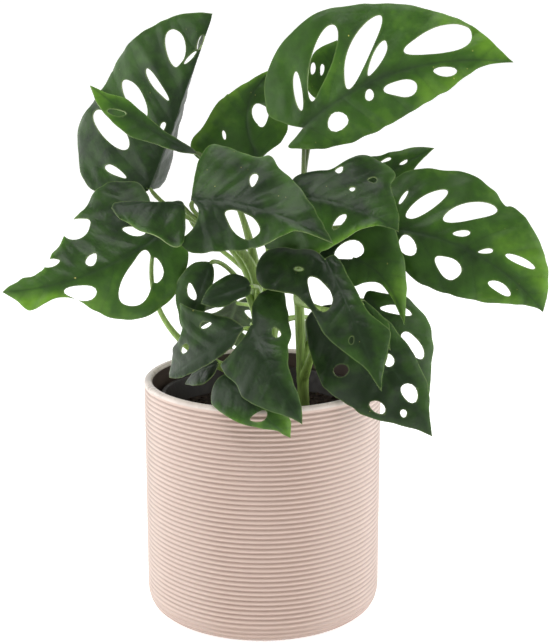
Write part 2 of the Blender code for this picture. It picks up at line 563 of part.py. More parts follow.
def blade_sheet(leaf):
    """Flat points and triangles of a blade with its holes left open."""
    length = leaf_axes(leaf)[4]
    edge = outline(leaf)
    holes = [hole_edge(hole, length) for hole in leaf.holes]
    points, edges = [], []
    for loop in [edge] + holes:
        first = len(points)
        points += [tuple(p) for p in loop]
        edges += [(first + i, first + (i + 1) % len(loop)) for i in range(len(loop))]
    step = INNER_STEP / length
    rib_steps = max(4, round(1 / step))
    rib = [(i / rib_steps, 0.0) for i in range(1, rib_steps)]
    rib = [spot for spot in rib if edge_distance(holes + [[(0.0, 0.0)]], spot) > step * 0.2]
    rib = [(0.0, 0.0)] + rib + [(1.0, 0.0)]
    first = len(points)
    points += rib
    edges += [(first + i, first + i + 1) for i in range(len(rib) - 1)]
    rows = range(-round(1 / step), round(1 / step) + 1)
    for row in [row for row in rows if row]:
        for column in range(-round(0.5 / step), rib_steps + 1):
            spot = ((column + 0.5 * (row % 2)) * step, row * step * 0.87)
            if inside(edge, spot) and edge_distance([edge] + holes, spot) > step * 0.45:
                points.append(spot)
    flat, _, faces, _, _, _ = delaunay_2d_cdt([Vector(p) for p in points], edges, [], 0, 0.003)
    kept = []
    for face in faces:
        middle = sum((flat[i] for i in face), Vector((0, 0))) / len(face)
        if inside(edge, middle) and not any(inside(hole, middle) for hole in holes):
            kept.append(tuple(face))
    used = sorted({i for face in kept for i in face})
    place = {old: new for new, old in enumerate(used)}
    return (np.array([tuple(flat[i]) for i in used]),
            [tuple(place[i] for i in face) for face in kept])


def leaf_blade(name, leaf, collection, finish):
    """One blade: a holed sheet laid on the leaf's curve, with Solidify for its thickness."""
    flat, faces = blade_sheet(leaf)
    mesh = bpy.data.meshes.new(name)
    mesh.from_pydata([tuple(p * MM) for p in blade_points(leaf, flat)], [], faces)
    obj = link_mesh(name, mesh, collection, finish)
    shell = obj.modifiers.new("thickness", "SOLIDIFY")
    shell.thickness = BLADE * MM
    shell.offset = 0.0
    mesh.shade_smooth()
    return obj


def stem_point(stem, height):
    """The middle of a stem at a height, mm."""
    foot = np.array((*stem.foot, SOIL_TOP))
    top = np.array(stem.top, float)
    return foot + (top - foot) * (height - SOIL_TOP) / (top[2] - SOIL_TOP)


def petiole_end(leaf, direction):
    """Where a petiole arriving in a direction stops, with a gap left to the blade."""
    base, along, _, up, _ = leaf_axes(leaf)
    if leaf.at_notch:
        tilt = math.sqrt(max(0.0, 1 - direction.dot(along) ** 2))
        return base - along * (GAP + 0.1 + PETIOLE_TOP * tilt)
    tilt = math.sqrt(max(0.0, 1 - direction.dot(up) ** 2))
    return base + along * 1.5 - up * (BLADE / 2 + GAP + 0.1 + PETIOLE_TOP * tilt)


def petiole_path(leaf):
    """From inside the stem, up and out, to the blade's base."""
    _, along, _, up, _ = leaf_axes(leaf)
    start = stem_point(STEMS[leaf.stem], leaf.rise)
    arrival = along if leaf.at_notch else unit(up + 0.5 * along)
    end = petiole_end(leaf, arrival)
    for _ in range(3):
        reach = np.linalg.norm(end - start)
        pulls = [start + np.array([0, 0, 0.4 * reach]), end - arrival * min(0.25 * reach, 22)]
        pulls[:len(leaf.via)] = [np.array(point, float) for point in leaf.via]
        lift, back = pulls
        steps = [i / (PETIOLE_POINTS - 1) for i in range(PETIOLE_POINTS)]
        path = [(1 - t) ** 3 * start + 3 * (1 - t) ** 2 * t * lift
                + 3 * (1 - t) * t ** 2 * back + t ** 3 * end for t in steps]
        end = petiole_end(leaf, unit(path[-1] - path[-2]))
    path[-1] = end
    return path


def tube(name, path, radii, collection, resolution=2):
    """A round tube through points in mm, as a closed mesh."""
    curve = bpy.data.curves.new(name, "CURVE")
    curve.dimensions = "3D"
    curve.bevel_depth = MM
    curve.bevel_resolution = resolution
    curve.use_fill_caps = True
    spline = curve.splines.new("POLY")
    spline.points.add(len(path) - 1)
    for point, place, radius in zip(spline.points, path, radii):
        point.co = (*(np.array(place, float) * MM), 1.0)
        point.radius = radius
    guide = bpy.data.objects.new(name, curve)
    collection.objects.link(guide)
    mesh = evaluated_mesh(guide)
    bpy.data.objects.remove(guide, do_unlink=True)
    form = bmesh.new()
    form.from_mesh(mesh)
    bmesh.ops.remove_doubles(form, verts=form.verts, dist=0.00001)
    form.to_mesh(mesh)
    form.free()
    return link_mesh(name, mesh, collection)


def stem_path(stem):
    """From just above the bottom of its hole to the growing tip."""
    bottom = SOIL_TOP - STEM_HOLE_DEPTH + GAP
    foot = (*stem.foot, bottom)
    heights = np.linspace(SOIL_TOP, stem.top[2], 5)
    path = [foot] + [tuple(stem_point(stem, height)) for height in heights]
    radii = [STEM_RADIUS] * 4 + [STEM_RADIUS * 0.85, STEM_RADIUS * 0.5]
    return path, radii


def stem_with_petioles(name, stem, collection, finish):
    """A stem with the petioles of its leaves, joined in one solid."""
    joined = new_collection(f"{name}_petioles")
    for leaf_name, leaf in LEAVES.items():
        if leaf.stem == name:
            radii = np.linspace(PETIOLE_FOOT, PETIOLE_TOP, PETIOLE_POINTS)
            tube(f"{leaf_name}_petiole", petiole_path(leaf), radii, joined, 1)
    trunk = tube(f"{name}_trunk", *stem_path(stem), collection)
    union = trunk.modifiers.new("petioles", "BOOLEAN")
    union.operation = "UNION"
    union.operand_type = "COLLECTION"
    union.collection = joined
    mesh = evaluated_mesh(trunk)
    for obj in [trunk] + list(joined.objects):
        bpy.data.objects.remove(obj, do_unlink=True)
    bpy.data.collections.remove(joined)
    mesh.materials.clear()
    obj = link_mesh(name, mesh, collection, finish)
    mesh.shade_smooth()
    return obj


def main():
    clear_scene()
    plant = new_collection("monstera_adansonii")
    cutters = new_collection("cutters")
    ceramic = material("pale_pink_ceramic", (0.73, 0.60, 0.52), 0.55)
    plastic = material("brown_plastic", (0.05, 0.035, 0.03), 0.5)
    peat = material("peat", (0.03, 0.02, 0.015), 1.0)
    leaf_green = material("leaf_green", (0.05, 0.13, 0.03), 0.45)
    young_green = material("young_leaf_green", (0.20, 0.36, 0.05), 0.45)
    stem_green = material("stem_green", (0.20, 0.32, 0.09), 0.5)
    cover_pot(plant, ceramic)
    grower_pot(plant, cutters, plastic)
    soil(plant, cutters, peat)
    for name, stem in STEMS.items():
        stem_with_petioles(name, stem, plant, stem_green)
    for name, leaf in LEAVES.items():
        finish = young_green if "young" in name else leaf_green
        leaf_blade(name, leaf, plant, finish)


if __name__ == "__main__":
    main()
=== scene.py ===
import json
import math
import random
from typing import NamedTuple

import bpy
import numpy as np
from bpy.props import FloatProperty, FloatVectorProperty, IntProperty, PointerProperty
from mathutils import Matrix, Vector, noise
from mathutils.geometry import delaunay_2d_cdt

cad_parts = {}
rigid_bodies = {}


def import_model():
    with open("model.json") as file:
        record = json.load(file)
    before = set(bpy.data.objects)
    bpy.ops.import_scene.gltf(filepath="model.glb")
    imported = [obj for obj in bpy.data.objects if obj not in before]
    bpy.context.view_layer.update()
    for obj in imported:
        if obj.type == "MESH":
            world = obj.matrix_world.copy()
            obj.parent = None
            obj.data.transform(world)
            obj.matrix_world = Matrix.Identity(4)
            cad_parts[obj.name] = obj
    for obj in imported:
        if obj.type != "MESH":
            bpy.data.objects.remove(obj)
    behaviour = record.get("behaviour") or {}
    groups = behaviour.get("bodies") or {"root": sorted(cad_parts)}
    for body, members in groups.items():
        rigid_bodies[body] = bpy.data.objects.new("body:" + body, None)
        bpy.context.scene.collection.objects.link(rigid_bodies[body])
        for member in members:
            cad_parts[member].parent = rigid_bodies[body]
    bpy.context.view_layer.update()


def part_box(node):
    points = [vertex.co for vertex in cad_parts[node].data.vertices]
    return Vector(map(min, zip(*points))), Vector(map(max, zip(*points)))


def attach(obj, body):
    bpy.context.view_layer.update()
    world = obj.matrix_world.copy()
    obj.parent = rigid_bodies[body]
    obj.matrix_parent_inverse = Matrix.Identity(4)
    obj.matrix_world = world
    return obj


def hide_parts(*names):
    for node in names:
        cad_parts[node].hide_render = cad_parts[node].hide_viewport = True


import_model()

bl_info = {
    "name": "Potted Monstera",
    "version": (1, 0, 0),
    "blender": (4, 5, 0),
    "location": "View3D > Sidebar > Monstera",
    "description": "Makes the potted monstera's ribbed pot, soil, stems and holed leaves",
    "category": "Add Mesh",
}

MM = 0.001
BODY = "root"
POT_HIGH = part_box("cover_pot")[1]

# Where the pieces meet, mm, as in the solids
GAP = 0.3
POT_FLOOR = 7.0
GROWER_WALL = 1.0
GROWER_HEIGHT = 121.0
GROWER_TOP = 60.5
GROWER_FOOT = 45.0
GROWER_LIP = 2.0
SOIL_TOP = 114.0
STEM_HOLE_DEPTH = 24.0
BLADE = 0.7
STEM_RADIUS = 3.4
GROWER_SLOPE = (GROWER_TOP - GROWER_LIP - GROWER_FOOT) / GROWER_HEIGHT

# Small shapes of the pots and the soil, mm
LIP = 2.2                       # the rounding on each side of the cover pot's lip
BORE_FILLET = 3
RIB_POINTS = (0.0, 0.14, 0.28, 0.4, 0.5, 0.6, 0.72, 0.86)   # points of a rib, in pitches
FOOT_HEIGHT, FOOT_DRAW = 11.0, 5.0      # how high the foot's curve starts, how far it draws in
DRAIN_RADIUS, DRAIN_REACH = 4, 27
SOIL_EDGE, CRUMB_REACH = 57, 54.5       # where the lumps die away, how far out crumbs lie

# Stems and petioles, mm, and shares of a petiole's length
PETIOLE_FOOT, PETIOLE_TAPER = 1.7, 0.6  # radius at its foot, and how much it loses
SHEATH, SHEATH_SHARE = 1.4, 0.3         # what the sheath adds at the foot, and how far up
JOINT, JOINT_AT = 0.2, 0.93             # the little joint below the blade
NODE_SWELL, NODE_HEIGHT = 0.35, 2.5     # a stem's swelling where a petiole leaves it

# Relief of a blade, mm
FULL_SIZE = 90                  # midrib of the smallest leaf with the full relief
RIB_GROOVE, RIB_WIDTH = 0.45, 0.9
VEIN_GROOVE, VEIN_WIDTH = 0.1, 0.55
QUILT_WIDTH = 3.2               # how far from a vein the blade reaches its full rise
CREASE, CREASE_SIZE = 0.9, (8.0, 20.0)  # sizes along the midrib and away from it
PUCKER_SIZE = (17.0, 12.0)
CURL_WIDTH, ROLL_WIDTH = 1.6, 2.6

# Rows of points beside the midrib, the side veins and the blade's edges, mm
RIB_ROWS, VEIN_ROWS, EDGE_ROW = (0.0, 0.6, -0.6, 1.3, -1.3), (0.0, 0.7, -0.7), 0.8

# Lane of a side vein, in fractions of the midrib
VEIN_CURVE = 0.35               # how much it bends forward on its way out
PLAIN_SLANT, LEAST_SLANT, MOST_SLANT = 0.6, 0.25, 1.1
HOLE_GAP = 0.07                 # no vein runs between holes nearer than this
FIRST_VEIN, VEIN_PITCH = 0.02, 0.12
LANE_GAP, SPOT_GAP = 0.085, 0.045       # least gap to the next vein and to a hole

# Heights between which a finish changes, m
PALE_FOOT = (0.008, 0.014)      # the painted shade in the grooves fades out near the cover pot's foot
STEM_GREENS = (0.125, 0.165)
# painted shade: stems and petioles darken between these heights, for the shade under the leaves
STEM_PAINTED_SHADE = (0.19, 0.27)

# Small colours of the finishes
DUST = (0.10, 0.075, 0.055)
PEAT_FIBRE = (0.14, 0.085, 0.05)
LEAF_SPECK = (0.45, 0.42, 0.12)
UNDERSIDE_GREY = (0.09, 0.14, 0.06)

# How young a leaf looks, 0 dark green to 1 yellow-green: at its base, at its tip, and how
# much lighter its left half is painted than its right half, as painted light and shade
FRESHNESS_AND_HALF_LIGHT = {
    "leaf_upper_left": (-0.02, 0.20, 0.10), "leaf_young_left": (0.00, 0.95, 0.05),
    "leaf_behind_centre": (0.45, 0.55, 0.00), "leaf_top_right": (0.42, 0.76, -0.06),
    "leaf_right": (0.34, 0.70, 0.06), "leaf_centre_right": (0.16, 0.50, -0.13),
    "leaf_front_centre": (0.10, 0.30, 0.00), "leaf_front_left": (0.05, 0.15, 0.00),
    "leaf_left": (0.25, 0.75, 0.20), "leaf_low_right_behind": (0.08, 0.90, 0.00),
    "leaf_low_centre_right": (0.02, 0.22, 0.00), "leaf_low_right": (0.02, 0.18, 0.05),
    "leaf_far_right_low": (0.30, 0.50, 0.00), "leaf_curled_right": (0.30, 0.50, 0.00),
    "leaf_front_low": (-0.02, 0.42, 0.13), "leaf_over_rim": (-0.08, 1.00, 0.00),
    "leaf_low_left": (-0.05, 0.08, 0.00), "leaf_inside_left": (0.00, 0.00, 0.00),
    "leaf_small_centre": (0.05, 0.20, 0.00), "leaf_behind_right": (0.45, 0.65, 0.00),
    "leaf_narrow_left": (0.20, 0.32, 0.00), "leaf_small_behind_top": (0.65, 0.75, 0.00),
}
PLAIN_FRESHNESS = (0.15, 0.35, 0.00)    # the leaves at the back


class Stem(NamedTuple):
    """One rooted stem: where it leaves the soil and where it ends, mm."""
    foot: tuple
    top: tuple


class Leaf(NamedTuple):
    """A blade and its petiole.

    base and tip are the ends of the midrib and face is the way the upper side looks, in mm.
    arch lifts the middle of the midrib towards the upper side and sweep bows it to the left.
    Each fold gives a half's angle to the blade at the base and at the tip, and how much
    further it has turned at its edge, in degrees. Outlines and holes are in fractions of
    the midrib: along it and away from it. A hole runs from one end to the other with a
    width, and its left side is positive.
    """
    stem: str
    rise: float             # height at which the petiole leaves the stem
    base: tuple
    tip: tuple
    face: tuple
    arch: float
    sweep: float
    left_fold: tuple
    right_fold: tuple
    left: tuple
    right: tuple
    holes: tuple = ()
    via: tuple = ()         # one or two points that pull the petiole's curve aside
    at_notch: bool = False  # the petiole meets the blade's edge, and its underside otherwise


STEMS = {
    "stem_left": Stem((-2, -4), (-3, -7, 200)),
    "stem_right": Stem((24.5, -15), (19.5, -15, 214)),
    "stem_back": Stem((6, 26), (6, 30, 172)),
}

LEAVES = {
    "leaf_upper_left": Leaf(
        "stem_left", 184, (-66, 12, 247), (-28, 22, 347), (-0.25, -1, 0.25), -4, 1,
        (0, 0, -25), (-90, -122, 0),
        ((-0.05, 0.06), (-0.10, 0.22), (-0.08, 0.38), (0.03, 0.51), (0.20, 0.60), (0.36, 0.55),
         (0.55, 0.50), (0.70, 0.43), (0.82, 0.33), (0.92, 0.20), (0.98, 0.07)),
        ((0.02, 0.08), (0.06, 0.18), (0.14, 0.26), (0.26, 0.29), (0.40, 0.26), (0.55, 0.22),
         (0.72, 0.16), (0.87, 0.09)),
        ((0.67, 0.08, 0.85, 0.20, 0.11), (0.49, 0.08, 0.60, 0.27, 0.05),
         (0.36, 0.15, 0.51, 0.40, 0.09), (0.17, 0.20, 0.30, 0.49, 0.12),
         (0.02, 0.15, 0.05, 0.31, 0.04), (0.31, 0.05, 0.37, 0.05, 0.03)),
        via=((-14, 4, 232), (-52, 12, 226)),
        at_notch=True,
    ),
    "leaf_young_left": Leaf(
        "stem_left", 196, (-36, -8, 270), (-94, -22, 309), (-0.1, -0.8, 0.6), 2, 4,
        (0, 0, 0), (0, 0, 0),
        ((0.11, 0.04), (0.23, 0.07), (0.40, 0.10), (0.55, 0.15), (0.71, 0.13), (0.85, 0.09),
         (0.94, 0.04)),
        ((0.08, 0.03), (0.32, 0.05), (0.50, 0.08), (0.72, 0.10), (0.85, 0.05), (0.94, 0.02)),
        ((0.66, 0.01, 0.78, 0.08, 0.06),),
        via=((-8, -6, 236), (-22, 0, 262)),
    ),
    "leaf_behind_centre": Leaf(
        "stem_back", 168, (-2, 40, 261), (13, 46, 318), (-0.1, -1, 0.3), 4, 14,
        (0, 0, -15), (0, 0, -10),
        ((0.03, 0.16), (0.07, 0.35), (0.14, 0.54), (0.21, 0.62), (0.27, 0.56), (0.33, 0.45),
         (0.45, 0.31), (0.61, 0.16), (0.73, 0.08), (0.88, 0.03)),
        ((0.02, 0.12), (0.05, 0.28), (0.16, 0.40), (0.45, 0.45), (0.73, 0.43), (0.90, 0.31),
         (0.97, 0.17)),
        ((0.27, -0.15, 0.58, -0.13, 0.16), (0.29, 0.25, 0.23, 0.24, 0.04)),
        via=((12, 30, 222), (1.5, 38.5, 247)),
        at_notch=True,
    ),
    "leaf_top_right": Leaf(
        "stem_right", 208, (23, 8, 283), (138, -20, 321), (0.1, -1, 0.35), 6, 13,
        (5, 0, -15), (-5, -10, -15),
        ((-0.05, 0.07), (-0.08, 0.15), (-0.05, 0.24), (0.04, 0.33), (0.15, 0.39), (0.28, 0.41),
         (0.41, 0.37), (0.54, 0.31), (0.66, 0.25), (0.77, 0.19), (0.88, 0.11), (0.95, 0.04)),
        ((-0.05, 0.01), (-0.10, 0.02), (-0.07, 0.06), (0.02, 0.14), (0.13, 0.19), (0.24, 0.21),
         (0.36, 0.21), (0.50, 0.19), (0.62, 0.16), (0.73, 0.12), (0.82, 0.06), (0.90, 0.02)),
        ((0.04, 0.06, 0.11, 0.22, 0.04), (0.11, 0.06, 0.32, 0.33, 0.09),
         (0.26, 0.03, 0.48, 0.27, 0.10), (0.37, 0.03, 0.49, 0.15, 0.05),
         (0.55, 0.085, 0.80, 0.105, 0.085), (0.17, -0.04, 0.13, -0.12, 0.10),
         (0.32, -0.04, 0.36, -0.06, 0.05), (0.42, -0.06, 0.57, -0.09, 0.08),
         (0.66, -0.037, 0.76, -0.047, 0.045)),
        via=((25, -8, 238), (23, 14, 262)),
    ),
    "leaf_right": Leaf(
        "stem_right", 212, (76, -8, 227), (160, -22, 181), (0.1, -1, 0.3), 5, 9,
        (0, 0, -20), (-5, -5, -10),
        ((-0.07, 0.08), (-0.11, 0.18), (-0.07, 0.29), (0.04, 0.38), (0.17, 0.44), (0.30, 0.45),
         (0.41, 0.42), (0.50, 0.37), (0.54, 0.38), (0.66, 0.33), (0.78, 0.26), (0.88, 0.17),
         (0.95, 0.08)),
        ((-0.01, 0.06), (0.02, 0.15), (0.12, 0.25), (0.24, 0.29), (0.38, 0.29), (0.55, 0.26),
         (0.73, 0.19), (0.85, 0.10), (0.95, 0.02)),
        ((0.05, 0.06, 0.21, 0.30, 0.08), (0.24, 0.12, 0.46, 0.31, 0.11),
         (0.32, 0.05, 0.40, 0.10, 0.04), (0.49, 0.02, 0.56, 0.07, 0.03),
         (0.63, 0.09, 0.79, 0.14, 0.05), (0.04, -0.03, 0.13, -0.14, 0.09),
         (0.27, -0.11, 0.46, -0.17, 0.11), (0.64, -0.10, 0.79, -0.07, 0.06)),
    ),
    "leaf_centre_right": Leaf(
        "stem_right", 204, (24, -28, 248), (74, -48, 232), (0.1, -0.75, 0.65), 4, 1,
        (5, 0, -10), (-20, -30, -30),
        ((-0.12, 0.10), (-0.22, 0.18), (-0.17, 0.27), (0.00, 0.35), (0.12, 0.42), (0.23, 0.58),
         (0.32, 0.71), (0.45, 0.71), (0.57, 0.67), (0.69, 0.58), (0.71, 0.43), (0.83, 0.28),
         (0.93, 0.15)),
        ((-0.12, 0.20), (-0.33, 0.46), (-0.37, 0.56), (-0.20, 0.59), (0.02, 0.58), (0.23, 0.54),
         (0.42, 0.42), (0.55, 0.30), (0.68, 0.15), (0.80, 0.06), (0.92, 0.02)),
        ((0.15, 0.40, 0.23, 0.40, 0.09), (0.50, 0.37, 0.56, 0.42, 0.08),
         (0.38, 0.22, 0.43, 0.19, 0.06), (0.46, -0.08, 0.38, -0.25, 0.09)),
    ),
    "leaf_front_centre": Leaf(
        "stem_left", 192, (-39, -45, 249), (37, -72, 230), (0, -0.6, 0.8), 4, 4,
        (10, 10, 10), (-30, -20, -10),
        ((0.00, 0.08), (-0.01, 0.20), (0.00, 0.33), (0.05, 0.42), (0.13, 0.42), (0.28, 0.38),
         (0.35, 0.38), (0.40, 0.40), (0.47, 0.34), (0.57, 0.29), (0.70, 0.20), (0.85, 0.10)),
        ((0.05, 0.05), (0.06, 0.12), (0.04, 0.20), (-0.03, 0.26), (-0.03, 0.31), (0.07, 0.35),
         (0.27, 0.33), (0.45, 0.29), (0.59, 0.23), (0.67, 0.14), (0.76, 0.06), (0.88, 0.03)),
        ((0.37, 0.14, 0.36, 0.25, 0.05), (0.25, -0.08, 0.54, -0.17, 0.14)),
    ),
    "leaf_front_left": Leaf(
        "stem_left", 188, (-42, -41, 246), (-81, -52, 246), (0, -0.6, 0.8), 2, 0,
        (-10, -10, -10), (0, 0, 0),
        ((0.02, 0.24), (0.04, 0.45), (0.09, 0.62), (0.21, 0.68), (0.42, 0.57), (0.65, 0.45),
         (0.80, 0.34), (0.94, 0.17)),
        ((0.05, 0.08), (0.20, 0.05), (0.41, 0.03), (0.59, 0.06), (0.79, 0.08), (0.94, 0.08)),
    ),
    "leaf_left": Leaf(
        "stem_left", 138, (-57, -22, 227), (-146, -30, 195), (-0.15, -1, 0.25), 4, 8,
        (-5, -20, -15), (-10, -20, -15),
        ((-0.07, 0.03), (-0.09, 0.10), (-0.04, 0.21), (0.06, 0.30), (0.17, 0.36), (0.30, 0.37),
         (0.41, 0.33), (0.48, 0.27), (0.54, 0.19), (0.60, 0.12), (0.68, 0.08), (0.76, 0.09),
         (0.86, 0.12), (0.92, 0.06)),
        ((-0.03, 0.12), (-0.09, 0.25), (-0.09, 0.37), (-0.01, 0.48), (0.12, 0.49), (0.26, 0.46),
         (0.39, 0.39), (0.53, 0.30), (0.65, 0.20), (0.76, 0.10), (0.88, 0.08), (0.94, 0.05)),
        ((0.14, 0.03, 0.35, 0.28, 0.16), (0.11, 0.10, 0.16, 0.23, 0.07),
         (0.64, 0.06, 0.48, 0.12, 0.10), (0.33, -0.30, 0.56, -0.30, 0.12),
         (0.63, -0.14, 0.74, -0.13, 0.05), (0.39, -0.10, 0.47, -0.05, 0.06),
         (0.17, -0.15, 0.06, -0.06, 0.06)),
        via=((-70, -14, 156), (-68, -12, 205)),
    ),
    "leaf_low_right_behind": Leaf(
        "stem_right", 190, (21, -26, 214), (79, -40, 178), (0.2, -0.9, 0.4), 5, 16,
        (0, 0, -15), (-10, -10, 0),
        ((0.06, 0.11), (0.17, 0.18), (0.29, 0.29), (0.40, 0.40), (0.47, 0.42), (0.55, 0.35),
         (0.66, 0.24), (0.78, 0.14), (0.89, 0.06)),
        ((0.03, 0.12), (0.16, 0.17), (0.34, 0.19), (0.50, 0.20), (0.58, 0.12), (0.66, 0.05),
         (0.78, 0.03), (0.90, 0.02)),
        ((0.24, -0.03, 0.40, 0.14, 0.14),),
    ),
    "leaf_low_centre_right": Leaf(
        "stem_right", 202, (34, -46, 217), (63, -84, 152), (0.1, -1, 0.35), 6, 0,
        (0, 0, -15), (-5, -5, -10),
        ((0.00, 0.07), (0.10, 0.09), (0.31, 0.10), (0.45, 0.11), (0.58, 0.17), (0.66, 0.20),
         (0.76, 0.14), (0.88, 0.06)),
        ((-0.09, 0.04), (-0.18, 0.18), (-0.24, 0.31), (-0.21, 0.40), (-0.11, 0.47),
         (-0.01, 0.47), (0.08, 0.38), (0.20, 0.27), (0.36, 0.23), (0.53, 0.21), (0.69, 0.13),
         (0.83, 0.05), (0.93, 0.02)),
        ((0.09, -0.15, 0.37, -0.12, 0.13), (0.60, -0.05, 0.64, -0.08, 0.03)),
        via=((15, -32, 204),),
    ),
    "leaf_low_right": Leaf(
        "stem_right", 140, (40, -50, 192), (93, -66, 121), (0.05, -1, 0.15), 5, 4,
        (-10, -10, -15), (-10, -5, -10),
        ((0.04, 0.09), (0.18, 0.15), (0.38, 0.17), (0.57, 0.16), (0.74, 0.12), (0.87, 0.05)),
        ((-0.05, 0.06), (-0.08, 0.15), (-0.04, 0.23), (0.05, 0.30), (0.16, 0.36), (0.29, 0.40),
         (0.40, 0.40), (0.54, 0.36), (0.68, 0.29), (0.80, 0.19), (0.91, 0.08)),
        ((0.30, -0.30, 0.35, -0.21, 0.08), (0.61, -0.22, 0.72, -0.19, 0.07),
         (0.76, -0.09, 0.81, -0.09, 0.04), (0.63, -0.01, 0.76, 0.02, 0.09),
         (0.43, 0.03, 0.50, 0.00, 0.06)),
        via=((26, -24, 148),),
    ),
    "leaf_far_right_low": Leaf(
        "stem_right", 146, (57, -26, 190), (94, -36, 133.5), (0.3, -0.9, 0.3), 4, 2,
        (0, 0, -15), (0, 0, 0),
        ((-0.02, 0.08), (0.09, 0.19), (0.22, 0.31), (0.39, 0.35), (0.52, 0.32), (0.68, 0.23),
         (0.80, 0.14), (0.93, 0.05)),
        ((0.05, 0.09), (0.16, 0.14), (0.34, 0.12), (0.58, 0.08), (0.85, 0.03)),
        ((0.14, 0.06, 0.34, 0.25, 0.08), (0.40, 0.08, 0.68, 0.10, 0.13)),
    ),
    "leaf_curled_right": Leaf(
        "stem_right", 187, (54, -57, 195), (69, -62, 169), (0.2, -0.9, -0.3), -2, 0,
        (0, 0, 0), (0, 0, 0),
        ((0.04, 0.06), (0.27, 0.14), (0.56, 0.22), (0.73, 0.16)),
        ((0.02, 0.07), (0.18, 0.14), (0.37, 0.16), (0.54, 0.10), (0.75, 0.03)),
        via=((22, -70, 196), (42, -51, 184)),
    ),
    "leaf_front_low": Leaf(
        "stem_left", 140, (-6, -60, 184), (21, -88, 135), (-0.05, -0.9, 0.4), 6, -2,
        (-10, -10, -15), (-10, -15, -25),
        ((-0.17, 0.06), (-0.28, 0.17), (-0.31, 0.30), (-0.25, 0.37), (-0.11, 0.35), (0.05, 0.33),
         (0.22, 0.29), (0.36, 0.21), (0.47, 0.16), (0.63, 0.13), (0.76, 0.11), (0.89, 0.07)),
        ((0.05, 0.07), (0.12, 0.17), (0.16, 0.29), (0.19, 0.41), (0.29, 0.40), (0.44, 0.36),
         (0.57, 0.33), (0.67, 0.27), (0.78, 0.18), (0.88, 0.08), (0.95, 0.03)),
        ((0.10, 0.17, 0.21, 0.18, 0.07),),
    ),
    "leaf_over_rim": Leaf(
        "stem_left", 134, (-20, -60, 156), (15, -80, 125), (-0.1, -0.85, 0.5), 8, -3,
        (-5, -5, -5), (-15, -15, -20),
        ((0.12, 0.11), (0.44, 0.19), (0.71, 0.21), (0.88, 0.17), (0.95, 0.09)),
        ((-0.02, 0.12), (0.01, 0.25), (0.12, 0.33), (0.22, 0.32), (0.40, 0.27), (0.61, 0.19),
         (0.73, 0.11), (0.85, 0.03), (0.93, 0.02)),
        ((0.58, -0.13, 0.67, 0.05, 0.10),),
    ),
    "leaf_low_left": Leaf(
        "stem_left", 144, (-10, -62, 182), (-53, -40, 148), (-0.1, -0.75, 0.65), 6, 4,
        (-15, -15, -20), (0, 0, 0),
        ((0.08, 0.04), (0.15, 0.08), (0.26, 0.10), (0.39, 0.11), (0.53, 0.10), (0.68, 0.09),
         (0.87, 0.06)),
        ((0.05, 0.16), (0.15, 0.27), (0.25, 0.36), (0.38, 0.46), (0.50, 0.56), (0.58, 0.60),
         (0.63, 0.50), (0.65, 0.38), (0.70, 0.30), (0.79, 0.29), (0.92, 0.24), (0.98, 0.10)),
        ((0.60, -0.15, 0.73, -0.18, 0.09), (0.26, -0.24, 0.41, -0.29, 0.06)),
    ),
    "leaf_inside_left": Leaf(
        "stem_left", 130, (-25, -38, 156), (-45, -28, 141), (0, -0.5, 0.85), 2, 0,
        (0, 0, 0), (0, 0, 0),
        ((0.10, 0.30), (0.30, 0.42), (0.60, 0.34), (0.85, 0.15)),
        ((0.10, 0.15), (0.40, 0.20), (0.75, 0.10)),
    ),
    "leaf_small_centre": Leaf(
        "stem_left", 176, (-6, -50, 203), (-34, -52, 193), (0, -0.9, 0.5), 2, 0,
        (0, 0, -10), (0, 0, -10),
        ((0.09, 0.17), (0.28, 0.18), (0.53, 0.23), (0.77, 0.19)),
        ((0.05, 0.18), (0.21, 0.31), (0.40, 0.31), (0.64, 0.28), (0.82, 0.18)),
    ),
    "leaf_behind_right": Leaf(
        "stem_right", 208, (60, 20, 246), (100, 15, 271), (0, -0.8, 0.6), 2, 0,
        (0, 0, 0), (0, 0, 0),
        ((-0.01, 0.24), (0.18, 0.34), (0.38, 0.28), (0.60, 0.19), (0.70, 0.17), (0.86, 0.10)),
        ((0.23, 0.16), (0.45, 0.16), (0.61, 0.14), (0.78, 0.07), (0.90, 0.03)),
        ((0.34, 0.19, 0.48, 0.15, 0.05), (0.53, 0.02, 0.65, 0.02, 0.04)),
    ),
    "leaf_narrow_left": Leaf(
        "stem_left", 166, (-29, -30, 212), (-43, -28, 170), (-0.2, -1, 0.1), 3, 0,
        (0, 0, 0), (0, 0, -10),
        ((0.08, 0.08), (0.30, 0.13), (0.60, 0.14), (0.91, 0.06)),
        ((0.07, 0.19), (0.25, 0.29), (0.40, 0.33), (0.53, 0.30), (0.74, 0.20), (0.92, 0.10)),
        ((0.34, -0.16, 0.53, -0.04, 0.11),),
    ),
    "leaf_small_behind_top": Leaf(
        "stem_right", 212, (35, 35, 296), (44, 35, 332), (0, -1, 0.2), 2, 0,
        (0, 0, 0), (0, 0, 0),
        ((0.06, 0.18), (0.20, 0.30), (0.52, 0.33), (0.77, 0.27), (0.92, 0.11)),
        ((0.19, 0.08), (0.54, 0.09), (0.86, 0.07)),
        ((0.38, 0.24, 0.57, 0.28, 0.08), (0.40, 0.10, 0.59, 0.13, 0.06)),
        via=((22, 2, 250), (26, 26, 275)),
        at_notch=True,
    ),
}

EVEN_LEFT = ((-0.08, 0.12), (-0.10, 0.24), (0.00, 0.34), (0.16, 0.38), (0.34, 0.36),
             (0.55, 0.28), (0.75, 0.16), (0.90, 0.05))
EVEN_HOLES = ((0.08, 0.09, 0.17, 0.24, 0.07), (0.26, 0.07, 0.38, 0.25, 0.08),
              (0.46, 0.06, 0.56, 0.18, 0.07), (0.10, -0.08, 0.20, -0.24, 0.08),
              (0.30, -0.07, 0.42, -0.24, 0.08), (0.52, -0.06, 0.62, -0.16, 0.06))


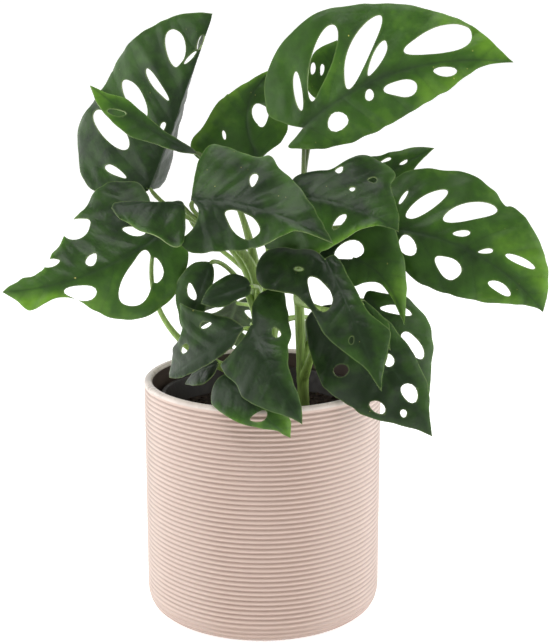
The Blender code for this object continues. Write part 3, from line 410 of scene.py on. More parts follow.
def even_leaf(rise, base, tip, face, arch, fold, wide=1.0):
    """A leaf of the common shape, with the same outline and holes on both halves."""
    outline = tuple((along, across * wide) for along, across in EVEN_LEFT)
    holes = tuple((a, b * wide, c, d * wide, w * wide) for a, b, c, d, w in EVEN_HOLES)
    return Leaf("stem_back", rise, base, tip, face, arch, 0, fold, fold, outline, outline, holes)


LEAVES["leaf_back_centre"] = even_leaf(
    168, (0, 58, 238), (-6, 130, 227), (0, 0.22, 0.97), 4, (-8, -8, -15))
LEAVES["leaf_back_right"] = even_leaf(
    166, (44, 46, 231), (76, 110, 219), (0.05, 0.25, 0.97), 3, (-8, -8, -15), 0.9)
LEAVES["leaf_back_left"] = even_leaf(
    164, (-44, 46, 227), (-78, 106, 215), (-0.1, 0.25, 0.97), 3, (-8, -8, -15), 0.8)
LEAVES["leaf_back_low_left"] = even_leaf(
    158, (-16, 74, 168), (-32, 108, 96), (-0.1, 0.9, 0.4), 6, (-5, -5, -15))
LEAVES["leaf_back_low_right"] = even_leaf(
    154, (48, 64, 160), (76, 96, 100), (0.2, 0.9, 0.4), 6, (-5, -5, -15))


# A blade's holes where the finished leaf takes them wider than its solid does
WIDER_HOLES = {
    "leaf_top_right": tuple(hole for hole in LEAVES["leaf_top_right"].holes if hole[0] != 0.55)
    + ((0.55, 0.088, 0.84, 0.108, 0.116),),
}

# Narrow slits, in the same fractions as the holes
SLITS = {
    "leaf_upper_left": ((0.79, 0.012, 0.88, 0.008, 0.035), (0.70, 0.06, 0.78, 0.02, 0.025)),
    "leaf_right": ((0.0, 0.145, 0.03, 0.24, 0.02),),
    "leaf_low_centre_right": ((0.02, -0.16, -0.02, -0.22, 0.03),),
}

# Margins that turn up: side (1 left, -1 right), from and to along the midrib, height in mm
ROLLS = {
    "leaf_centre_right": ((-1, 0.00, 0.85, 3.2),),
    "leaf_front_centre": ((1, 0.00, 0.60, 1.6), (-1, 0.55, 0.95, 1.5)),
    "leaf_front_left": ((1, 0.05, 0.90, 2.2),),
    "leaf_behind_centre": ((1, 0.20, 0.90, 3.0),),
    "leaf_left": ((1, 0.62, 0.95, 2.5), (-1, 0.30, 0.80, 2.0)),
    "leaf_low_left": ((-1, 0.45, 0.80, 1.8),),
    "leaf_over_rim": ((-1, 0.10, 0.60, 1.6),),
}

# How crumpled a blade is, against 1 for most of them
CRUMPLED = {
    "leaf_front_centre": 1.7, "leaf_front_left": 1.6, "leaf_low_centre_right": 1.3,
    "leaf_front_low": 1.5, "leaf_low_left": 1.5, "leaf_over_rim": 1.4, "leaf_upper_left": 0.4,
    "leaf_top_right": 0.6, "leaf_right": 0.6, "leaf_young_left": 0.6,
}


# ---------------------------------------------------------------- settings

def length_setting(name, description, default, low, high):
    return FloatProperty(name=name, description=description, default=default, min=low,
                         max=high, unit="LENGTH")


def colour_setting(name, description, default):
    return FloatVectorProperty(name=name, description=description, default=default, min=0,
                               max=1, size=3, subtype="COLOR")


def angle_setting(name, description, degrees, low, high):
    return FloatProperty(name=name, description=description, default=math.radians(degrees),
                         min=low, max=high, subtype="ANGLE")


def light_setting(name, description, default, high, unit="NONE"):
    return FloatProperty(name=name, description=description, default=default, min=0.0,
                         max=high, unit=unit)


class PotSettings(bpy.types.PropertyGroup):
    """Sizes and colours of the two pots and the soil."""
    radius: length_setting("Radius", "Cover pot's radius over its ribs", POT_HIGH[0], 0.04, 0.2)
    height: length_setting("Height", "Cover pot's height", POT_HIGH[2], 0.05, 0.4)
    bore: length_setting("Bore", "Cover pot's inside radius", 65.2 * MM, 0.03, 0.19)
    ribs: IntProperty(name="Ribs", description="Level ribs round the cover pot",
                      default=47, min=4, max=120)
    rib_depth: length_setting("Rib depth", "How deep the grooves are", 0.8 * MM, 0.0, 0.004)
    band: length_setting("Plain band", "Height of the smooth band under the lip", 3 * MM,
                         0.001, 0.03)
    clay: colour_setting("Clay", "Colour of the ribs", (0.56, 0.422, 0.358))
    # painted shade: the groove colour is the clay darkened for the shade between the ribs,
    # darkened further for the shade inside the pot
    groove: colour_setting("Groove", "Colour between the ribs", (0.34, 0.235, 0.19))
    glaze: colour_setting("Glaze", "Colour of the glazed lip", (0.66, 0.58, 0.52))
    plastic: colour_setting("Grower's pot", "Colour of the inner pot", (0.018, 0.014, 0.012))
    peat: colour_setting("Peat", "Colour of the soil", (0.020, 0.013, 0.010))
    crumbs: IntProperty(name="Crumbs", description="Loose grains lying on the soil",
                        default=620, min=0, max=3000)


class PlantSettings(bpy.types.PropertyGroup):
    """Sizes and colours of the leaves and stems."""
    step: length_setting("Mesh step", "Spacing of the points inside a blade", 1.7 * MM,
                         0.0008, 0.01)
    rib_thickness: length_setting("Midrib", "Thickness of the midrib's foot", 1.9 * MM,
                                  0.0007, 0.004)
    swell: length_setting("Quilting", "Rise of the blade between its veins", 0.7 * MM, 0.0, 0.003)
    wave: length_setting("Wave", "Wave of the blade's margin", 1.3 * MM, 0.0, 0.005)
    pucker: length_setting("Pucker", "Uneven rise and fall of the blade", 1.5 * MM, 0.0, 0.005)
    curl: length_setting("Curl", "How far the very edge turns down", 0.8 * MM, 0.0, 0.003)
    old_green: colour_setting("Old leaf", "Colour of the darkest leaves", (0.012, 0.027, 0.008))
    leaf_green: colour_setting("Leaf", "Colour of a grown leaf", (0.038, 0.098, 0.013))
    young_green: colour_setting("Young leaf", "Colour of a young leaf", (0.12, 0.26, 0.022))
    # painted shade: the darker green on the upper side's veins stands for the shade in their
    # grooves
    painted_vein_shade: colour_setting("Vein groove", "Colour of the veins on the upper side",
                                 (0.020, 0.040, 0.016))
    vein_green: colour_setting("Vein", "Colour of the veins on the underside",
                               (0.12, 0.20, 0.06))
    margin: colour_setting("Margin", "Colour of the thin pale edge", (0.22, 0.30, 0.11))
    stem_green: colour_setting("Stem", "Colour of stems and petioles", (0.26, 0.40, 0.085))
    stem_brown: colour_setting("Old stem", "Colour of a stem's foot", (0.10, 0.10, 0.035))


class StageSettings(bpy.types.PropertyGroup):
    """The floor, the light and the camera."""
    floor: colour_setting("Floor", "Colour of the floor", (0.88, 0.88, 0.88))
    surround: light_setting("Surround", "Strength of the light all round", 0.33, 5.0)
    sweep_glow: light_setting("Sweep glow", "Light that the white sweep gives", 0.56, 5.0)
    side_light: light_setting("Side lights", "Power of each side light", 11.5, 500.0, "POWER")
    top_light: light_setting("Top light", "Power of the light above", 8.5, 500.0, "POWER")
    lens: FloatProperty(name="Lens", description="Focal length, mm", default=75.7, min=10,
                        max=300)
    height: length_setting("Camera height", "Camera above the floor", 0.348, 0.0, 3.0)
    distance: length_setting("Camera distance", "Camera in front of the pot", 0.772, 0.1, 5.0)
    tilt: angle_setting("Tilt", "How far the camera looks down", 12.9, 0, 1.5)
    turn: angle_setting("Turn", "How far the camera looks to the right", 0.539, -1, 1)


# ---------------------------------------------------------------- modelling

def only(*objects):
    """Selects just these objects and makes the first one active."""
    if bpy.context.mode != "OBJECT":
        bpy.ops.object.mode_set(mode="OBJECT")
    bpy.ops.object.select_all(action="DESELECT")
    for obj in objects:
        obj.select_set(True)
    if objects:
        bpy.context.view_layer.objects.active = objects[0]


def named(name):
    """Names the piece that was just added, and its mesh."""
    piece = bpy.context.object
    piece.name = name
    piece.data.name = name
    return piece


def add_object(name, data):
    """Puts a mesh or curve that was made in code into the scene."""
    piece = bpy.data.objects.new(name, data)
    bpy.context.scene.collection.objects.link(piece)
    return piece


def edit_all():
    """Enters edit mode with everything selected."""
    bpy.ops.object.mode_set(mode="EDIT")
    bpy.ops.mesh.select_all(action="SELECT")


def close_seams(distance):
    """Merges points closer than so many mm, turns the faces outwards and ends editing."""
    bpy.ops.mesh.select_all(action="SELECT")
    bpy.ops.mesh.remove_doubles(threshold=distance * MM)
    bpy.ops.mesh.normals_make_consistent(inside=False)
    bpy.ops.object.mode_set(mode="OBJECT")


def apply_modifiers(piece):
    """Makes every modifier of a piece part of its mesh, in order."""
    only(piece)
    for modifier in list(piece.modifiers):
        bpy.ops.object.modifier_apply(modifier=modifier.name)


def shade(piece, angle):
    """Smooth shading, with edges sharper than the angle in degrees left crisp."""
    only(piece)
    bpy.ops.object.shade_smooth_by_angle(angle=math.radians(angle))


def dress(piece, node, slot, *finishes):
    """Gives a piece its finishes and lets it stand for its node of the frame."""
    for finish in finishes:
        piece.data.materials.append(finish)
    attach(piece, BODY)
    if node:
        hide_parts(node)


def turn_profile(name, profile, segments):
    """Draws a profile of (radius, height) in mm point by point and spins it round Z."""
    only()
    bpy.ops.mesh.primitive_plane_add(size=MM)
    piece = named(name)
    edit_all()
    bpy.ops.mesh.merge(type="CENTER")
    bpy.ops.transform.translate(value=(profile[0][0] * MM, 0, profile[0][1] * MM))
    for (radius, height), (next_radius, next_height) in zip(profile, profile[1:]):
        step = ((next_radius - radius) * MM, 0, (next_height - height) * MM)
        bpy.ops.mesh.extrude_region_move(TRANSFORM_OT_translate={"value": step})
    bpy.ops.mesh.select_all(action="SELECT")
    bpy.ops.mesh.spin(steps=segments, angle=math.tau, center=(0, 0, 0), axis=(0, 0, 1))
    close_seams(0.02)
    return piece


def arc(centre, radius, start, end, steps):
    """Points of a circular arc in a profile, angles in degrees."""
    angles = [math.radians(start + (end - start) * i / steps) for i in range(steps + 1)]
    return [(centre[0] + radius * math.cos(a), centre[1] + radius * math.sin(a)) for a in angles]


def tube(name, path, radii, sides):
    """A round closed tube through points in mm."""
    curve = bpy.data.curves.new(name, "CURVE")
    curve.dimensions = "3D"
    curve.bevel_depth = MM
    curve.bevel_resolution = sides // 4
    curve.use_fill_caps = True
    spline = curve.splines.new("POLY")
    spline.points.add(len(path) - 1)
    for point, place, radius in zip(spline.points, path, radii):
        point.co = (*(np.array(place, float) * MM), 1.0)
        point.radius = radius
    only(add_object(name, curve))
    bpy.ops.object.convert(target="MESH")
    piece = bpy.context.object
    edit_all()
    close_seams(0.01)
    return piece


# ---------------------------------------------------------------- finishes

class Finish:
    """A material and short ways to add and join its nodes."""

    def __init__(self, name, roughness, specular=0.5):
        self.material = bpy.data.materials.new(name)
        self.material.use_nodes = True
        self.tree = self.material.node_tree
        self.shader = self.tree.nodes["Principled BSDF"]
        self.shader.inputs["Roughness"].default_value = roughness
        self.shader.inputs["Specular IOR Level"].default_value = specular

    def node(self, kind, **inputs):
        """Adds a node. An input is a value, or a socket to join it to."""
        made = self.tree.nodes.new(kind)
        for label, value in inputs.items():
            self.join(value, made.inputs[label.replace("_", " ")])
        return made

    def join(self, value, socket):
        if isinstance(value, bpy.types.NodeSocket):
            self.tree.links.new(value, socket)
        else:
            socket.default_value = value

    def place(self):
        """The point on the piece, in metres."""
        return self.node("ShaderNodeTexCoord").outputs["Object"]

    def attribute(self, name):
        made = self.tree.nodes.new("ShaderNodeAttribute")
        made.attribute_name = name
        return made.outputs["Fac"]

    def grain(self, scale, detail=3.0, where=None):
        """Noise from 0 to 1 at so many bumps a metre."""
        made = self.node("ShaderNodeTexNoise", Vector=where or self.place(), Scale=scale,
                         Detail=detail)
        return made.outputs["Fac"]

    def patches(self, scale, low, high, least=0.0, most=1.0, detail=3.0):
        """Grain stretched so that low turns into least and high into most."""
        return self.span(self.grain(scale, detail), low, high, least, most)

    def math(self, operation, first, second=0.0):
        made = self.tree.nodes.new("ShaderNodeMath")
        made.operation = operation
        self.join(first, made.inputs[0])
        self.join(second, made.inputs[1])
        return made.outputs[0]

    def span(self, value, low, high, new_low=0.0, new_high=1.0):
        """Stretches a span of values onto another one and stops at its ends."""
        made = self.node("ShaderNodeMapRange", Value=value)
        for label, number in zip(("From Min", "From Max", "To Min", "To Max"),
                                 (low, high, new_low, new_high)):
            self.join(number, made.inputs[label])
        return made.outputs["Result"]

    def mix(self, amount, first, second):
        """A colour between two colours."""
        made = self.tree.nodes.new("ShaderNodeMix")
        made.data_type = "RGBA"
        self.join(amount, made.inputs[0])
        for colour, socket in ((first, made.inputs[6]), (second, made.inputs[7])):
            self.join(colour if isinstance(colour, bpy.types.NodeSocket) else (*colour, 1.0),
                      socket)
        return made.outputs[2]

    def bump(self, height, depth, strength=1.0, under=None):
        """Surface relief of a depth in metres, on top of another one."""
        made = self.node("ShaderNodeBump", Height=height, Distance=depth, Strength=strength)
        if under:
            self.join(under, made.inputs["Normal"])
        return made.outputs["Normal"]

    def finish(self, colour, roughness=None, normal=None):
        self.join(colour, self.shader.inputs["Base Color"])
        if roughness is not None:
            self.join(roughness, self.shader.inputs["Roughness"])
        if normal is not None:
            self.join(normal, self.shader.inputs["Normal"])
        return self.material


def darker(colour, factor):
    """A colour with each channel multiplied."""
    return tuple(channel * factor for channel in colour)


def satin_clay(settings):
    """Pale pink clay with a satin shine and a fine grain, with painted shade darkening the
    grooves.
    """
    clay = Finish("satin_pink_clay", 0.32, 0.85)
    place = clay.place()
    level = clay.node("ShaderNodeVectorMath", Vector=place)
    level.operation = "MULTIPLY"
    level.inputs[1].default_value = (1, 1, 0)
    reach = clay.node("ShaderNodeVectorMath", Vector=level.outputs["Vector"])
    reach.operation = "LENGTH"
    outer, depth = settings.radius, settings.rib_depth
    # painted shade: darker clay in the grooves, fading out near the foot
    crest = clay.span(reach.outputs["Value"], outer - depth, outer - depth * 0.1)
    height = clay.node("ShaderNodeSeparateXYZ", Vector=place).outputs["Z"]
    foot = clay.span(height, *PALE_FOOT, 0.55, 0.0)
    crest = clay.math("MAXIMUM", crest, foot)
    colour = clay.mix(crest, settings.groove, settings.clay)
    cloud = clay.patches(35, 0.3, 0.7, most=0.12)
    colour = clay.mix(cloud, colour, darker(settings.clay, 0.8))
    speck = clay.patches(1500, 0.6, 0.75, most=0.15, detail=2)
    colour = clay.mix(speck, colour, darker(settings.clay, 0.7))
    rough = clay.patches(120, 0.3, 0.7, 0.30, 0.35)
    return clay.finish(colour, rough, clay.bump(clay.grain(900, 3), 0.00001, 0.3))


def glazed_lip(settings):
    """Thin greyish glaze over the lip."""
    glaze = Finish("glazed_lip", 0.3, 0.5)
    cloud = glaze.patches(60, 0.35, 0.65)
    colour = glaze.mix(cloud, settings.glaze, darker(settings.glaze, 0.8))
    rough = glaze.patches(250, 0.3, 0.7, 0.22, 0.36)
    return glaze.finish(colour, rough, glaze.bump(glaze.grain(500), 0.00004, 0.4))


def painted_shade_inside(settings):
    """Dark brown inside of the cover pot: the groove colour darkened far down, painted shade for
    the shadow inside the pot.
    """
    bore = Finish("painted_shade_inside", 0.35, 0.5)
    brown = darker(settings.groove, 0.2)
    colour = bore.mix(bore.patches(50, 0.35, 0.65), brown, darker(brown, 0.7))
    return bore.finish(colour, None, bore.bump(bore.grain(700), 0.0001, 0.5))


def nursery_plastic(settings):
    """Thin dark brown plastic with a faint satin shine and some dust."""
    plastic = Finish("brown_plastic", 0.42, 0.3)
    dust = plastic.patches(140, 0.55, 0.75, most=0.2, detail=6)
    colour = plastic.mix(dust, settings.plastic, DUST)
    rough = plastic.patches(300, 0.3, 0.7, 0.34, 0.55)
    return plastic.finish(colour, rough, plastic.bump(plastic.grain(900), 0.00004, 0.4))


def damp_peat(settings, lighter=1.0):
    """Crumbly dark peat with paler fibres."""
    peat = Finish("damp_peat", 0.95, 0.2)
    lump = peat.patches(260, 0.35, 0.65, detail=5)
    colour = peat.mix(lump, darker(settings.peat, 0.5 * lighter),
                      darker(settings.peat, 1.5 * lighter))
    fibre = peat.patches(900, 0.62, 0.72, most=0.6)
    colour = peat.mix(fibre, colour, PEAT_FIBRE)
    return peat.finish(colour, None, peat.bump(peat.grain(700, 5), 0.0006, 0.8))


def leaf_colour(leaf, settings, vein_green):
    """Green from old to young with painted light and shade added, blotched, with veins of another
    green (painted shade in their grooves on the upper side, their own paler green underneath) and
    a few yellow specks.
    """
    large = leaf.patches(40, 0.3, 0.7, -0.2, 0.2)
    small = leaf.patches(170, 0.3, 0.7, -0.08, 0.08, detail=2)
    tone = leaf.math("ADD", leaf.attribute("age_and_painted_light"), leaf.math("ADD", large, small))
    colour = leaf.mix(leaf.span(tone, 0.0, 0.5), settings.old_green, settings.leaf_green)
    colour = leaf.mix(leaf.span(tone, 0.5, 1.0), colour, settings.young_green)
    # painted shade on the upper side, where the veins darken for the shade in their grooves;
    # their own paler green underneath
    vein = leaf.math("MULTIPLY", leaf.attribute("vein"), 0.5)
    colour = leaf.mix(vein, colour, vein_green)
    speck = leaf.patches(420, 0.755, 0.785, detail=1)
    few = leaf.patches(38, 0.60, 0.66, detail=1)
    colour = leaf.mix(leaf.math("MULTIPLY", speck, few), colour, LEAF_SPECK)
    rim = leaf.math("MULTIPLY", leaf.attribute("rim"), 0.3)
    return leaf.mix(rim, colour, settings.margin)


def fine_veins(leaf, depth):
    """The net of small veins that puckers the blade."""
    uv = leaf.node("ShaderNodeUVMap")
    uv.uv_map = "blade"
    net = leaf.node("ShaderNodeTexVoronoi", Vector=uv.outputs["UV"], Scale=26.0)
    net.feature = "DISTANCE_TO_EDGE"
    cell = leaf.span(net.outputs["Distance"], 0.0, 0.25)
    return leaf.bump(cell, depth, 0.35, leaf.bump(leaf.grain(130, 3), 0.0008, 0.4))


def let_light_through(leaf):
    """A little light passes through the thin blade."""
    leaf.shader.inputs["Subsurface Weight"].default_value = 0.25
    leaf.shader.inputs["Subsurface Radius"].default_value = (0.5, 1.0, 0.2)
    leaf.shader.inputs["Subsurface Scale"].default_value = 0.0012


def upper_leaf(settings):
    """The upper side, with a soft waxy shine."""
    leaf = Finish("leaf_upper_side", 0.4, 0.2)
    let_light_through(leaf)
    rough = leaf.patches(90, 0.3, 0.7, 0.30, 0.46)
    colour = leaf_colour(leaf, settings, settings.painted_vein_shade)
    return leaf.finish(colour, rough, fine_veins(leaf, 0.00012))


def under_leaf(settings):
    """The underside is paler, greyer and duller."""
    leaf = Finish("leaf_underside", 0.6, 0.3)
    let_light_through(leaf)
    colour = leaf_colour(leaf, settings, settings.vein_green)
    colour = leaf.mix(0.3, colour, UNDERSIDE_GREY)
    return leaf.finish(colour, None, fine_veins(leaf, 0.0002))


def leaf_margin(settings):
    """The thin pale edge round the blade and its holes."""
    edge = Finish("leaf_margin", 0.5, 0.4)
    blotch = edge.patches(120, 0.35, 0.65)
    return edge.finish(edge.mix(blotch, settings.margin, darker(settings.margin, 0.6)))


def green_stem(settings):
    """Green, browner towards the soil, with painted shade darkening it high up under the leaves,
    and fine lengthwise streaks.
    """
    stem = Finish("green_stem", 0.42, 0.5)
    place = stem.place()
    height = stem.node("ShaderNodeSeparateXYZ", Vector=place).outputs["Z"]
    streaks = stem.node("ShaderNodeMapping", Vector=place, Scale=(1, 1, 0.08))
    streak = stem.span(stem.grain(1200, 2, streaks.outputs["Vector"]), 0.35, 0.65)
    green = settings.stem_green
    colour = stem.mix(streak, darker(green, 0.75), darker(green, 1.2))
    # painted shade high up under the leaves
    high = stem.span(height, *STEM_PAINTED_SHADE, 0.0, 0.85)
    colour = stem.mix(high, colour, darker(green, 0.08))
    level = stem.math("ADD", height, stem.math("MULTIPLY", stem.grain(60), 0.04))
    old = stem.span(level, *STEM_GREENS, 0.8, 0.0)
    colour = stem.mix(old, colour, settings.stem_brown)
    return stem.finish(colour, None, stem.bump(streak, 0.0001, 0.4))


def pale_floor(settings):
    """White sweep, faintly lit from within, so that it stays white to its far edge."""
    floor = Finish("pale_floor", 0.9, 0.0)
    cloud = floor.patches(3, 0.3, 0.7)
    colour = floor.mix(cloud, settings.floor, darker(settings.floor, 0.99))
    floor.shader.inputs["Emission Color"].default_value = (1, 1, 1, 1)
    floor.shader.inputs["Emission Strength"].default_value = settings.sweep_glow
    return floor.finish(colour)


def floor_sweep(settings):
    """The floor, bent up behind into a wall, in metres."""
    size, bend_step, wall = 6, 0.12, 4
    only()
    bpy.ops.mesh.primitive_plane_add(size=size)
    floor = named("floor")
    bpy.ops.object.mode_set(mode="EDIT")
    bpy.ops.mesh.select_all(action="DESELECT")
    bpy.ops.object.mode_set(mode="OBJECT")
    for edge in floor.data.edges:
        edge.select = all(floor.data.vertices[i].co.y > size * 0.45 for i in edge.vertices)
    bpy.ops.object.mode_set(mode="EDIT")
    bpy.ops.mesh.select_mode(type="EDGE")
    for degrees in range(5, 90, 10):
        turn = math.radians(degrees)
        way = (0, bend_step * math.cos(turn), bend_step * math.sin(turn))
        bpy.ops.mesh.extrude_region_move(TRANSFORM_OT_translate={"value": way})
    bpy.ops.mesh.extrude_region_move(TRANSFORM_OT_translate={"value": (0, 0, wall)})
    bpy.ops.object.mode_set(mode="OBJECT")
    floor.data.materials.append(pale_floor(settings))
    shade(floor, 60)


# ---------------------------------------------------------------- pots and soil

def cover_pot_profile(settings):
    """Down the bore, over the rounded lip, down the ribs and under the foot, mm."""
    radius, height = settings.radius / MM, settings.height / MM
    bore, depth = settings.bore / MM, settings.rib_depth / MM
    profile = [(0, POT_FLOOR), (bore - BORE_FILLET, POT_FLOOR)]
    profile += arc((bore - BORE_FILLET, POT_FLOOR + BORE_FILLET), BORE_FILLET, -90, 0, 6)[1:]
    profile += arc((bore + LIP, height - LIP), LIP, 180, 90, 8)
    profile += arc((radius - LIP, height - LIP), LIP, 90, 0, 8)
    top = height - settings.band / MM
    pitch = (top - 1.5) / settings.ribs
    for rib in range(settings.ribs):
        for part in RIB_POINTS:
            level = top - (rib + part) * pitch
            groove = 0.5 - 0.5 * math.cos(math.tau * part)
            profile.append((foot_radius(radius, level) - depth * groove ** 1.3, level))
    low = foot_radius(radius, 0)
    return profile + [(low + 0.7, 1.0), (low + 0.3, 0.3), (low - 0.6, 0), (0, 0)]


def foot_radius(radius, level):
    """Radius over the ribs at a height, drawn in towards the foot, mm."""
    drop = max(0.0, 1 - level / FOOT_HEIGHT)
    return radius - FOOT_DRAW * (1 - math.sqrt(1 - drop ** 2 * 0.98))


def ribbed_pot(settings):
    """The cover pot, glazed on its lip, with painted shade inside."""
    pot = turn_profile("ribbed_cover_pot", cover_pot_profile(settings), 144)
    dress(pot, "cover_pot", "pot_ceramic", satin_clay(settings), glazed_lip(settings),
          painted_shade_inside(settings))
    lip_low = settings.height - 2.0 * MM
    for face in pot.data.polygons:
        centre = face.center
        reach = math.hypot(centre.x, centre.y)
        if centre.z > lip_low:
            face.material_index = 1
        # the inner wall takes the painted shade finish
        elif reach < settings.bore + 0.3 * MM and centre.z > 5 * MM:
            face.material_index = 2
    shade(pot, 50)


def nursery_pot_profile():
    """The grower's pot: thin tapered wall, flat floor and a turned-down rolled rim, mm."""
    base = POT_FLOOR + GAP
    rim = base + GROWER_HEIGHT
    inner = GROWER_FOOT - GROWER_WALL
    top_in = inner + GROWER_SLOPE * GROWER_HEIGHT
    profile = [(0, base + GROWER_WALL), (inner - 2, base + GROWER_WALL)]
    profile += [(inner, base + GROWER_WALL + 2), (top_in, rim - 1.2), (top_in + 0.4, rim - 0.3)]
    profile += [(top_in + 1.2, rim), (GROWER_TOP - 0.8, rim), (GROWER_TOP - 0.2, rim - 0.3)]
    profile += [(GROWER_TOP, rim - 1), (GROWER_TOP, rim - 7), (GROWER_TOP - 1, rim - 7)]
    profile += [(top_in + GROWER_WALL, rim - 2.2), (GROWER_FOOT + 0.2, base + 1.5)]
    return profile + [(GROWER_FOOT - 1.3, base), (0, base)]


def nursery_pot(settings):
    """The grower's pot with its four drain holes."""
    pot = turn_profile("nursery_pot", nursery_pot_profile(), 96)
    floor = (POT_FLOOR + GAP) * MM
    cutters = []
    for index in range(4):
        turn = math.tau * (index + 0.5) / 4
        x, y = DRAIN_REACH * math.cos(turn), DRAIN_REACH * math.sin(turn)
        only()
        bpy.ops.mesh.primitive_cylinder_add(vertices=32, radius=DRAIN_RADIUS * MM,
                                            depth=8 * MM, location=(x * MM, y * MM, floor))
        cutters.append(named(f"drain_hole_{index}"))
        cut = pot.modifiers.new("drain", "BOOLEAN")
        cut.operation = "DIFFERENCE"
        cut.object = cutters[-1]
    apply_modifiers(pot)
    only(*cutters)
    bpy.ops.object.delete()
    dress(pot, "grower_pot", "grower_plastic", nursery_plastic(settings))
    shade(pot, 40)


def soil_height(x, y):
    """Height of the soil's lumpy top at a place, mm."""
    lump = noise.noise(Vector((x * 0.09, y * 0.09, 3.1))) * 1.3
    lump += noise.noise(Vector((x * 0.35, y * 0.35, 7.7))) * 0.7
    return SOIL_TOP + 0.6 + lump * min(1.0, (SOIL_EDGE - math.hypot(x, y)) / 8)


def soil_ball(settings):
    """The root ball up to its lumpy top."""
    base = POT_FLOOR + 2 * GAP + GROWER_WALL
    inset = GROWER_WALL + GAP
    top = GROWER_FOOT + GROWER_SLOPE * (SOIL_TOP - POT_FLOOR - GAP) - inset
    foot = GROWER_FOOT + GROWER_SLOPE * (base - POT_FLOOR - GAP) - inset
    rings = [(top * i / 40, SOIL_TOP) for i in range(41)]
    ball = turn_profile("root_ball", rings + [(foot, base), (0, base)], 128)
    for vertex in ball.data.vertices:
        x, y, z = vertex.co / MM
        if z > SOIL_TOP - 1:
            vertex.co.z = soil_height(x, y) * MM
    dress(ball, "soil", "soil", damp_peat(settings))
    shade(ball, 60)


def soil_crumbs(settings):
    """Loose crumbs of peat, one shape copied at many sizes and turns."""
    only()
    bpy.ops.mesh.primitive_ico_sphere_add(subdivisions=1, radius=MM)
    first = named("crumb")
    pick = random.Random(11)
    for vertex in first.data.vertices:
        vertex.co *= pick.uniform(0.7, 1.2)
    copies = []
    for index in range(settings.crumbs):
        reach, turn = CRUMB_REACH * math.sqrt(pick.random()), pick.uniform(0, math.tau)
        x, y = reach * math.cos(turn), reach * math.sin(turn)
        size = 0.35 + 1.5 * pick.random() ** 3
        stretch = Vector((size * pick.uniform(0.8, 1.9), size, size * pick.uniform(0.6, 1.0)))
        spin = Matrix.Rotation(pick.uniform(0, math.tau), 4, "Z")
        spin = spin @ Matrix.Rotation(pick.uniform(-0.5, 0.5), 4, "Y")
        place = Matrix.Translation(Vector((x, y, soil_height(x, y) + size * 0.25)) * MM)
        mesh = first.data.copy()
        mesh.transform(place @ spin @ Matrix.Diagonal((*stretch, 1)))
        copies.append(add_object(f"crumb_{index}", mesh))
    only(*copies)
    bpy.ops.object.join()
    crumbs = named("soil_crumbs")
    only(first)
    bpy.ops.object.delete()
    dress(crumbs, None, "soil", damp_peat(settings, 1.5))
    shade(crumbs, 35)


# ---------------------------------------------------------------- leaves

def unit(vector):
    """The vector's direction, one unit long."""
    return vector / np.linalg.norm(vector)


def leaf_axes(leaf):
    """Base, midrib direction, left side, upper side and midrib length of a leaf, mm."""
    base = np.array(leaf.base, float)
    along = np.array(leaf.tip, float) - base
    length = np.linalg.norm(along)
    along = along / length
    face = np.array(leaf.face, float)
    up = unit(face - face.dot(along) * along)
    return base, along, np.cross(up, along), up, length


def half_angle(leaf, length, along, across):
    """Each point's fold angle at the midrib, and its turn per mm away from it."""
    sides = np.array([leaf.left_fold, leaf.right_fold], float)[(across < 0).astype(int)]
    start = np.radians(sides[:, 0] + (sides[:, 1] - sides[:, 0]) * along)
    turn = np.radians(sides[:, 2]) / (0.5 * length)
    return start, np.where(np.abs(turn) < 1e-6, 1e-6, turn)


def blade_points(leaf, flat):
    """Maps flat blade points, in fractions of the midrib, onto the curved leaf in mm."""
    base, along, left, up, length = leaf_axes(leaf)
    s = flat[:, 0]
    inner = np.clip(s, 0.0, 1.0)
    bow = 4 * inner * (1 - inner) + 4 * np.minimum(s, 0.0)
    spine = base + np.outer(s * length, along)
    spine += np.outer(leaf.arch * bow, up) + np.outer(leaf.sweep * bow, left)
    slope = 4 * (1 - 2 * inner)
    tangent = along * length + np.outer(leaf.arch * slope, up)
    tangent += np.outer(leaf.sweep * slope, left)
    tangent /= np.linalg.norm(tangent, axis=1)[:, None]
    normal = up - (tangent @ up)[:, None] * tangent
    normal /= np.linalg.norm(normal, axis=1)[:, None]
    side = np.cross(normal, tangent)
    width = np.abs(flat[:, 1]) * length
    start, turn = half_angle(leaf, length, inner, flat[:, 1])
    out = (np.sin(start + turn * width) - np.sin(start)) / turn
    lift = (np.cos(start) - np.cos(start + turn * width)) / turn
    return spine + side * (np.sign(flat[:, 1]) * out)[:, None] + normal * lift[:, None]


def smooth_run(points, steps):
    """A smooth run through the points, leaving out the last one."""
    padded = [points[0]] + list(points) + [points[-1]]
    run = []
    for i in range(1, len(padded) - 2):
        p0, p1, p2, p3 = (np.array(padded[i + k], float) for k in (-1, 0, 1, 2))
        for step in range(steps):
            t = step / steps
            run.append(0.5 * (2 * p1 + (p2 - p0) * t + (2 * p0 - 5 * p1 + 4 * p2 - p3) * t ** 2
                              + (3 * p1 - p0 - 3 * p2 + p3) * t ** 3))
    return run


def outline(leaf, length):
    """The blade's edge in mm: down the right half from tip to base, then up the left half."""
    left = [(0, 0)] + list(leaf.left) + [(1, 0)]
    right = [(0, 0)] + [(s, -w) for s, w in leaf.right] + [(1, 0)]
    steps = 8 if length > 60 else 5
    return np.array(smooth_run(right, steps) + smooth_run(left[::-1], steps)) * length


def across_loop(loop):
    """The direction square to a closed loop at each of its points."""
    way = np.roll(loop, -1, axis=0) - np.roll(loop, 1, axis=0)
    way /= np.maximum(np.linalg.norm(way, axis=1), 1e-6)[:, None]
    return np.stack([-way[:, 1], way[:, 0]], axis=1)


def noise_at(points, level):
    """Smooth noise at each of the flat points, on a level of its own."""
    return np.array([noise.noise(Vector((x, y, level))) for x, y in points])


def uneven_edge(loop):
    """The blade's edge with small unevenness, mm."""
    shift = noise_at(loop * 0.13, 5.0)
    away = np.clip(np.abs(loop[:, 1]) / 6, 0, 1)
    return loop + across_loop(loop) * (0.8 * shift * away)[:, None]


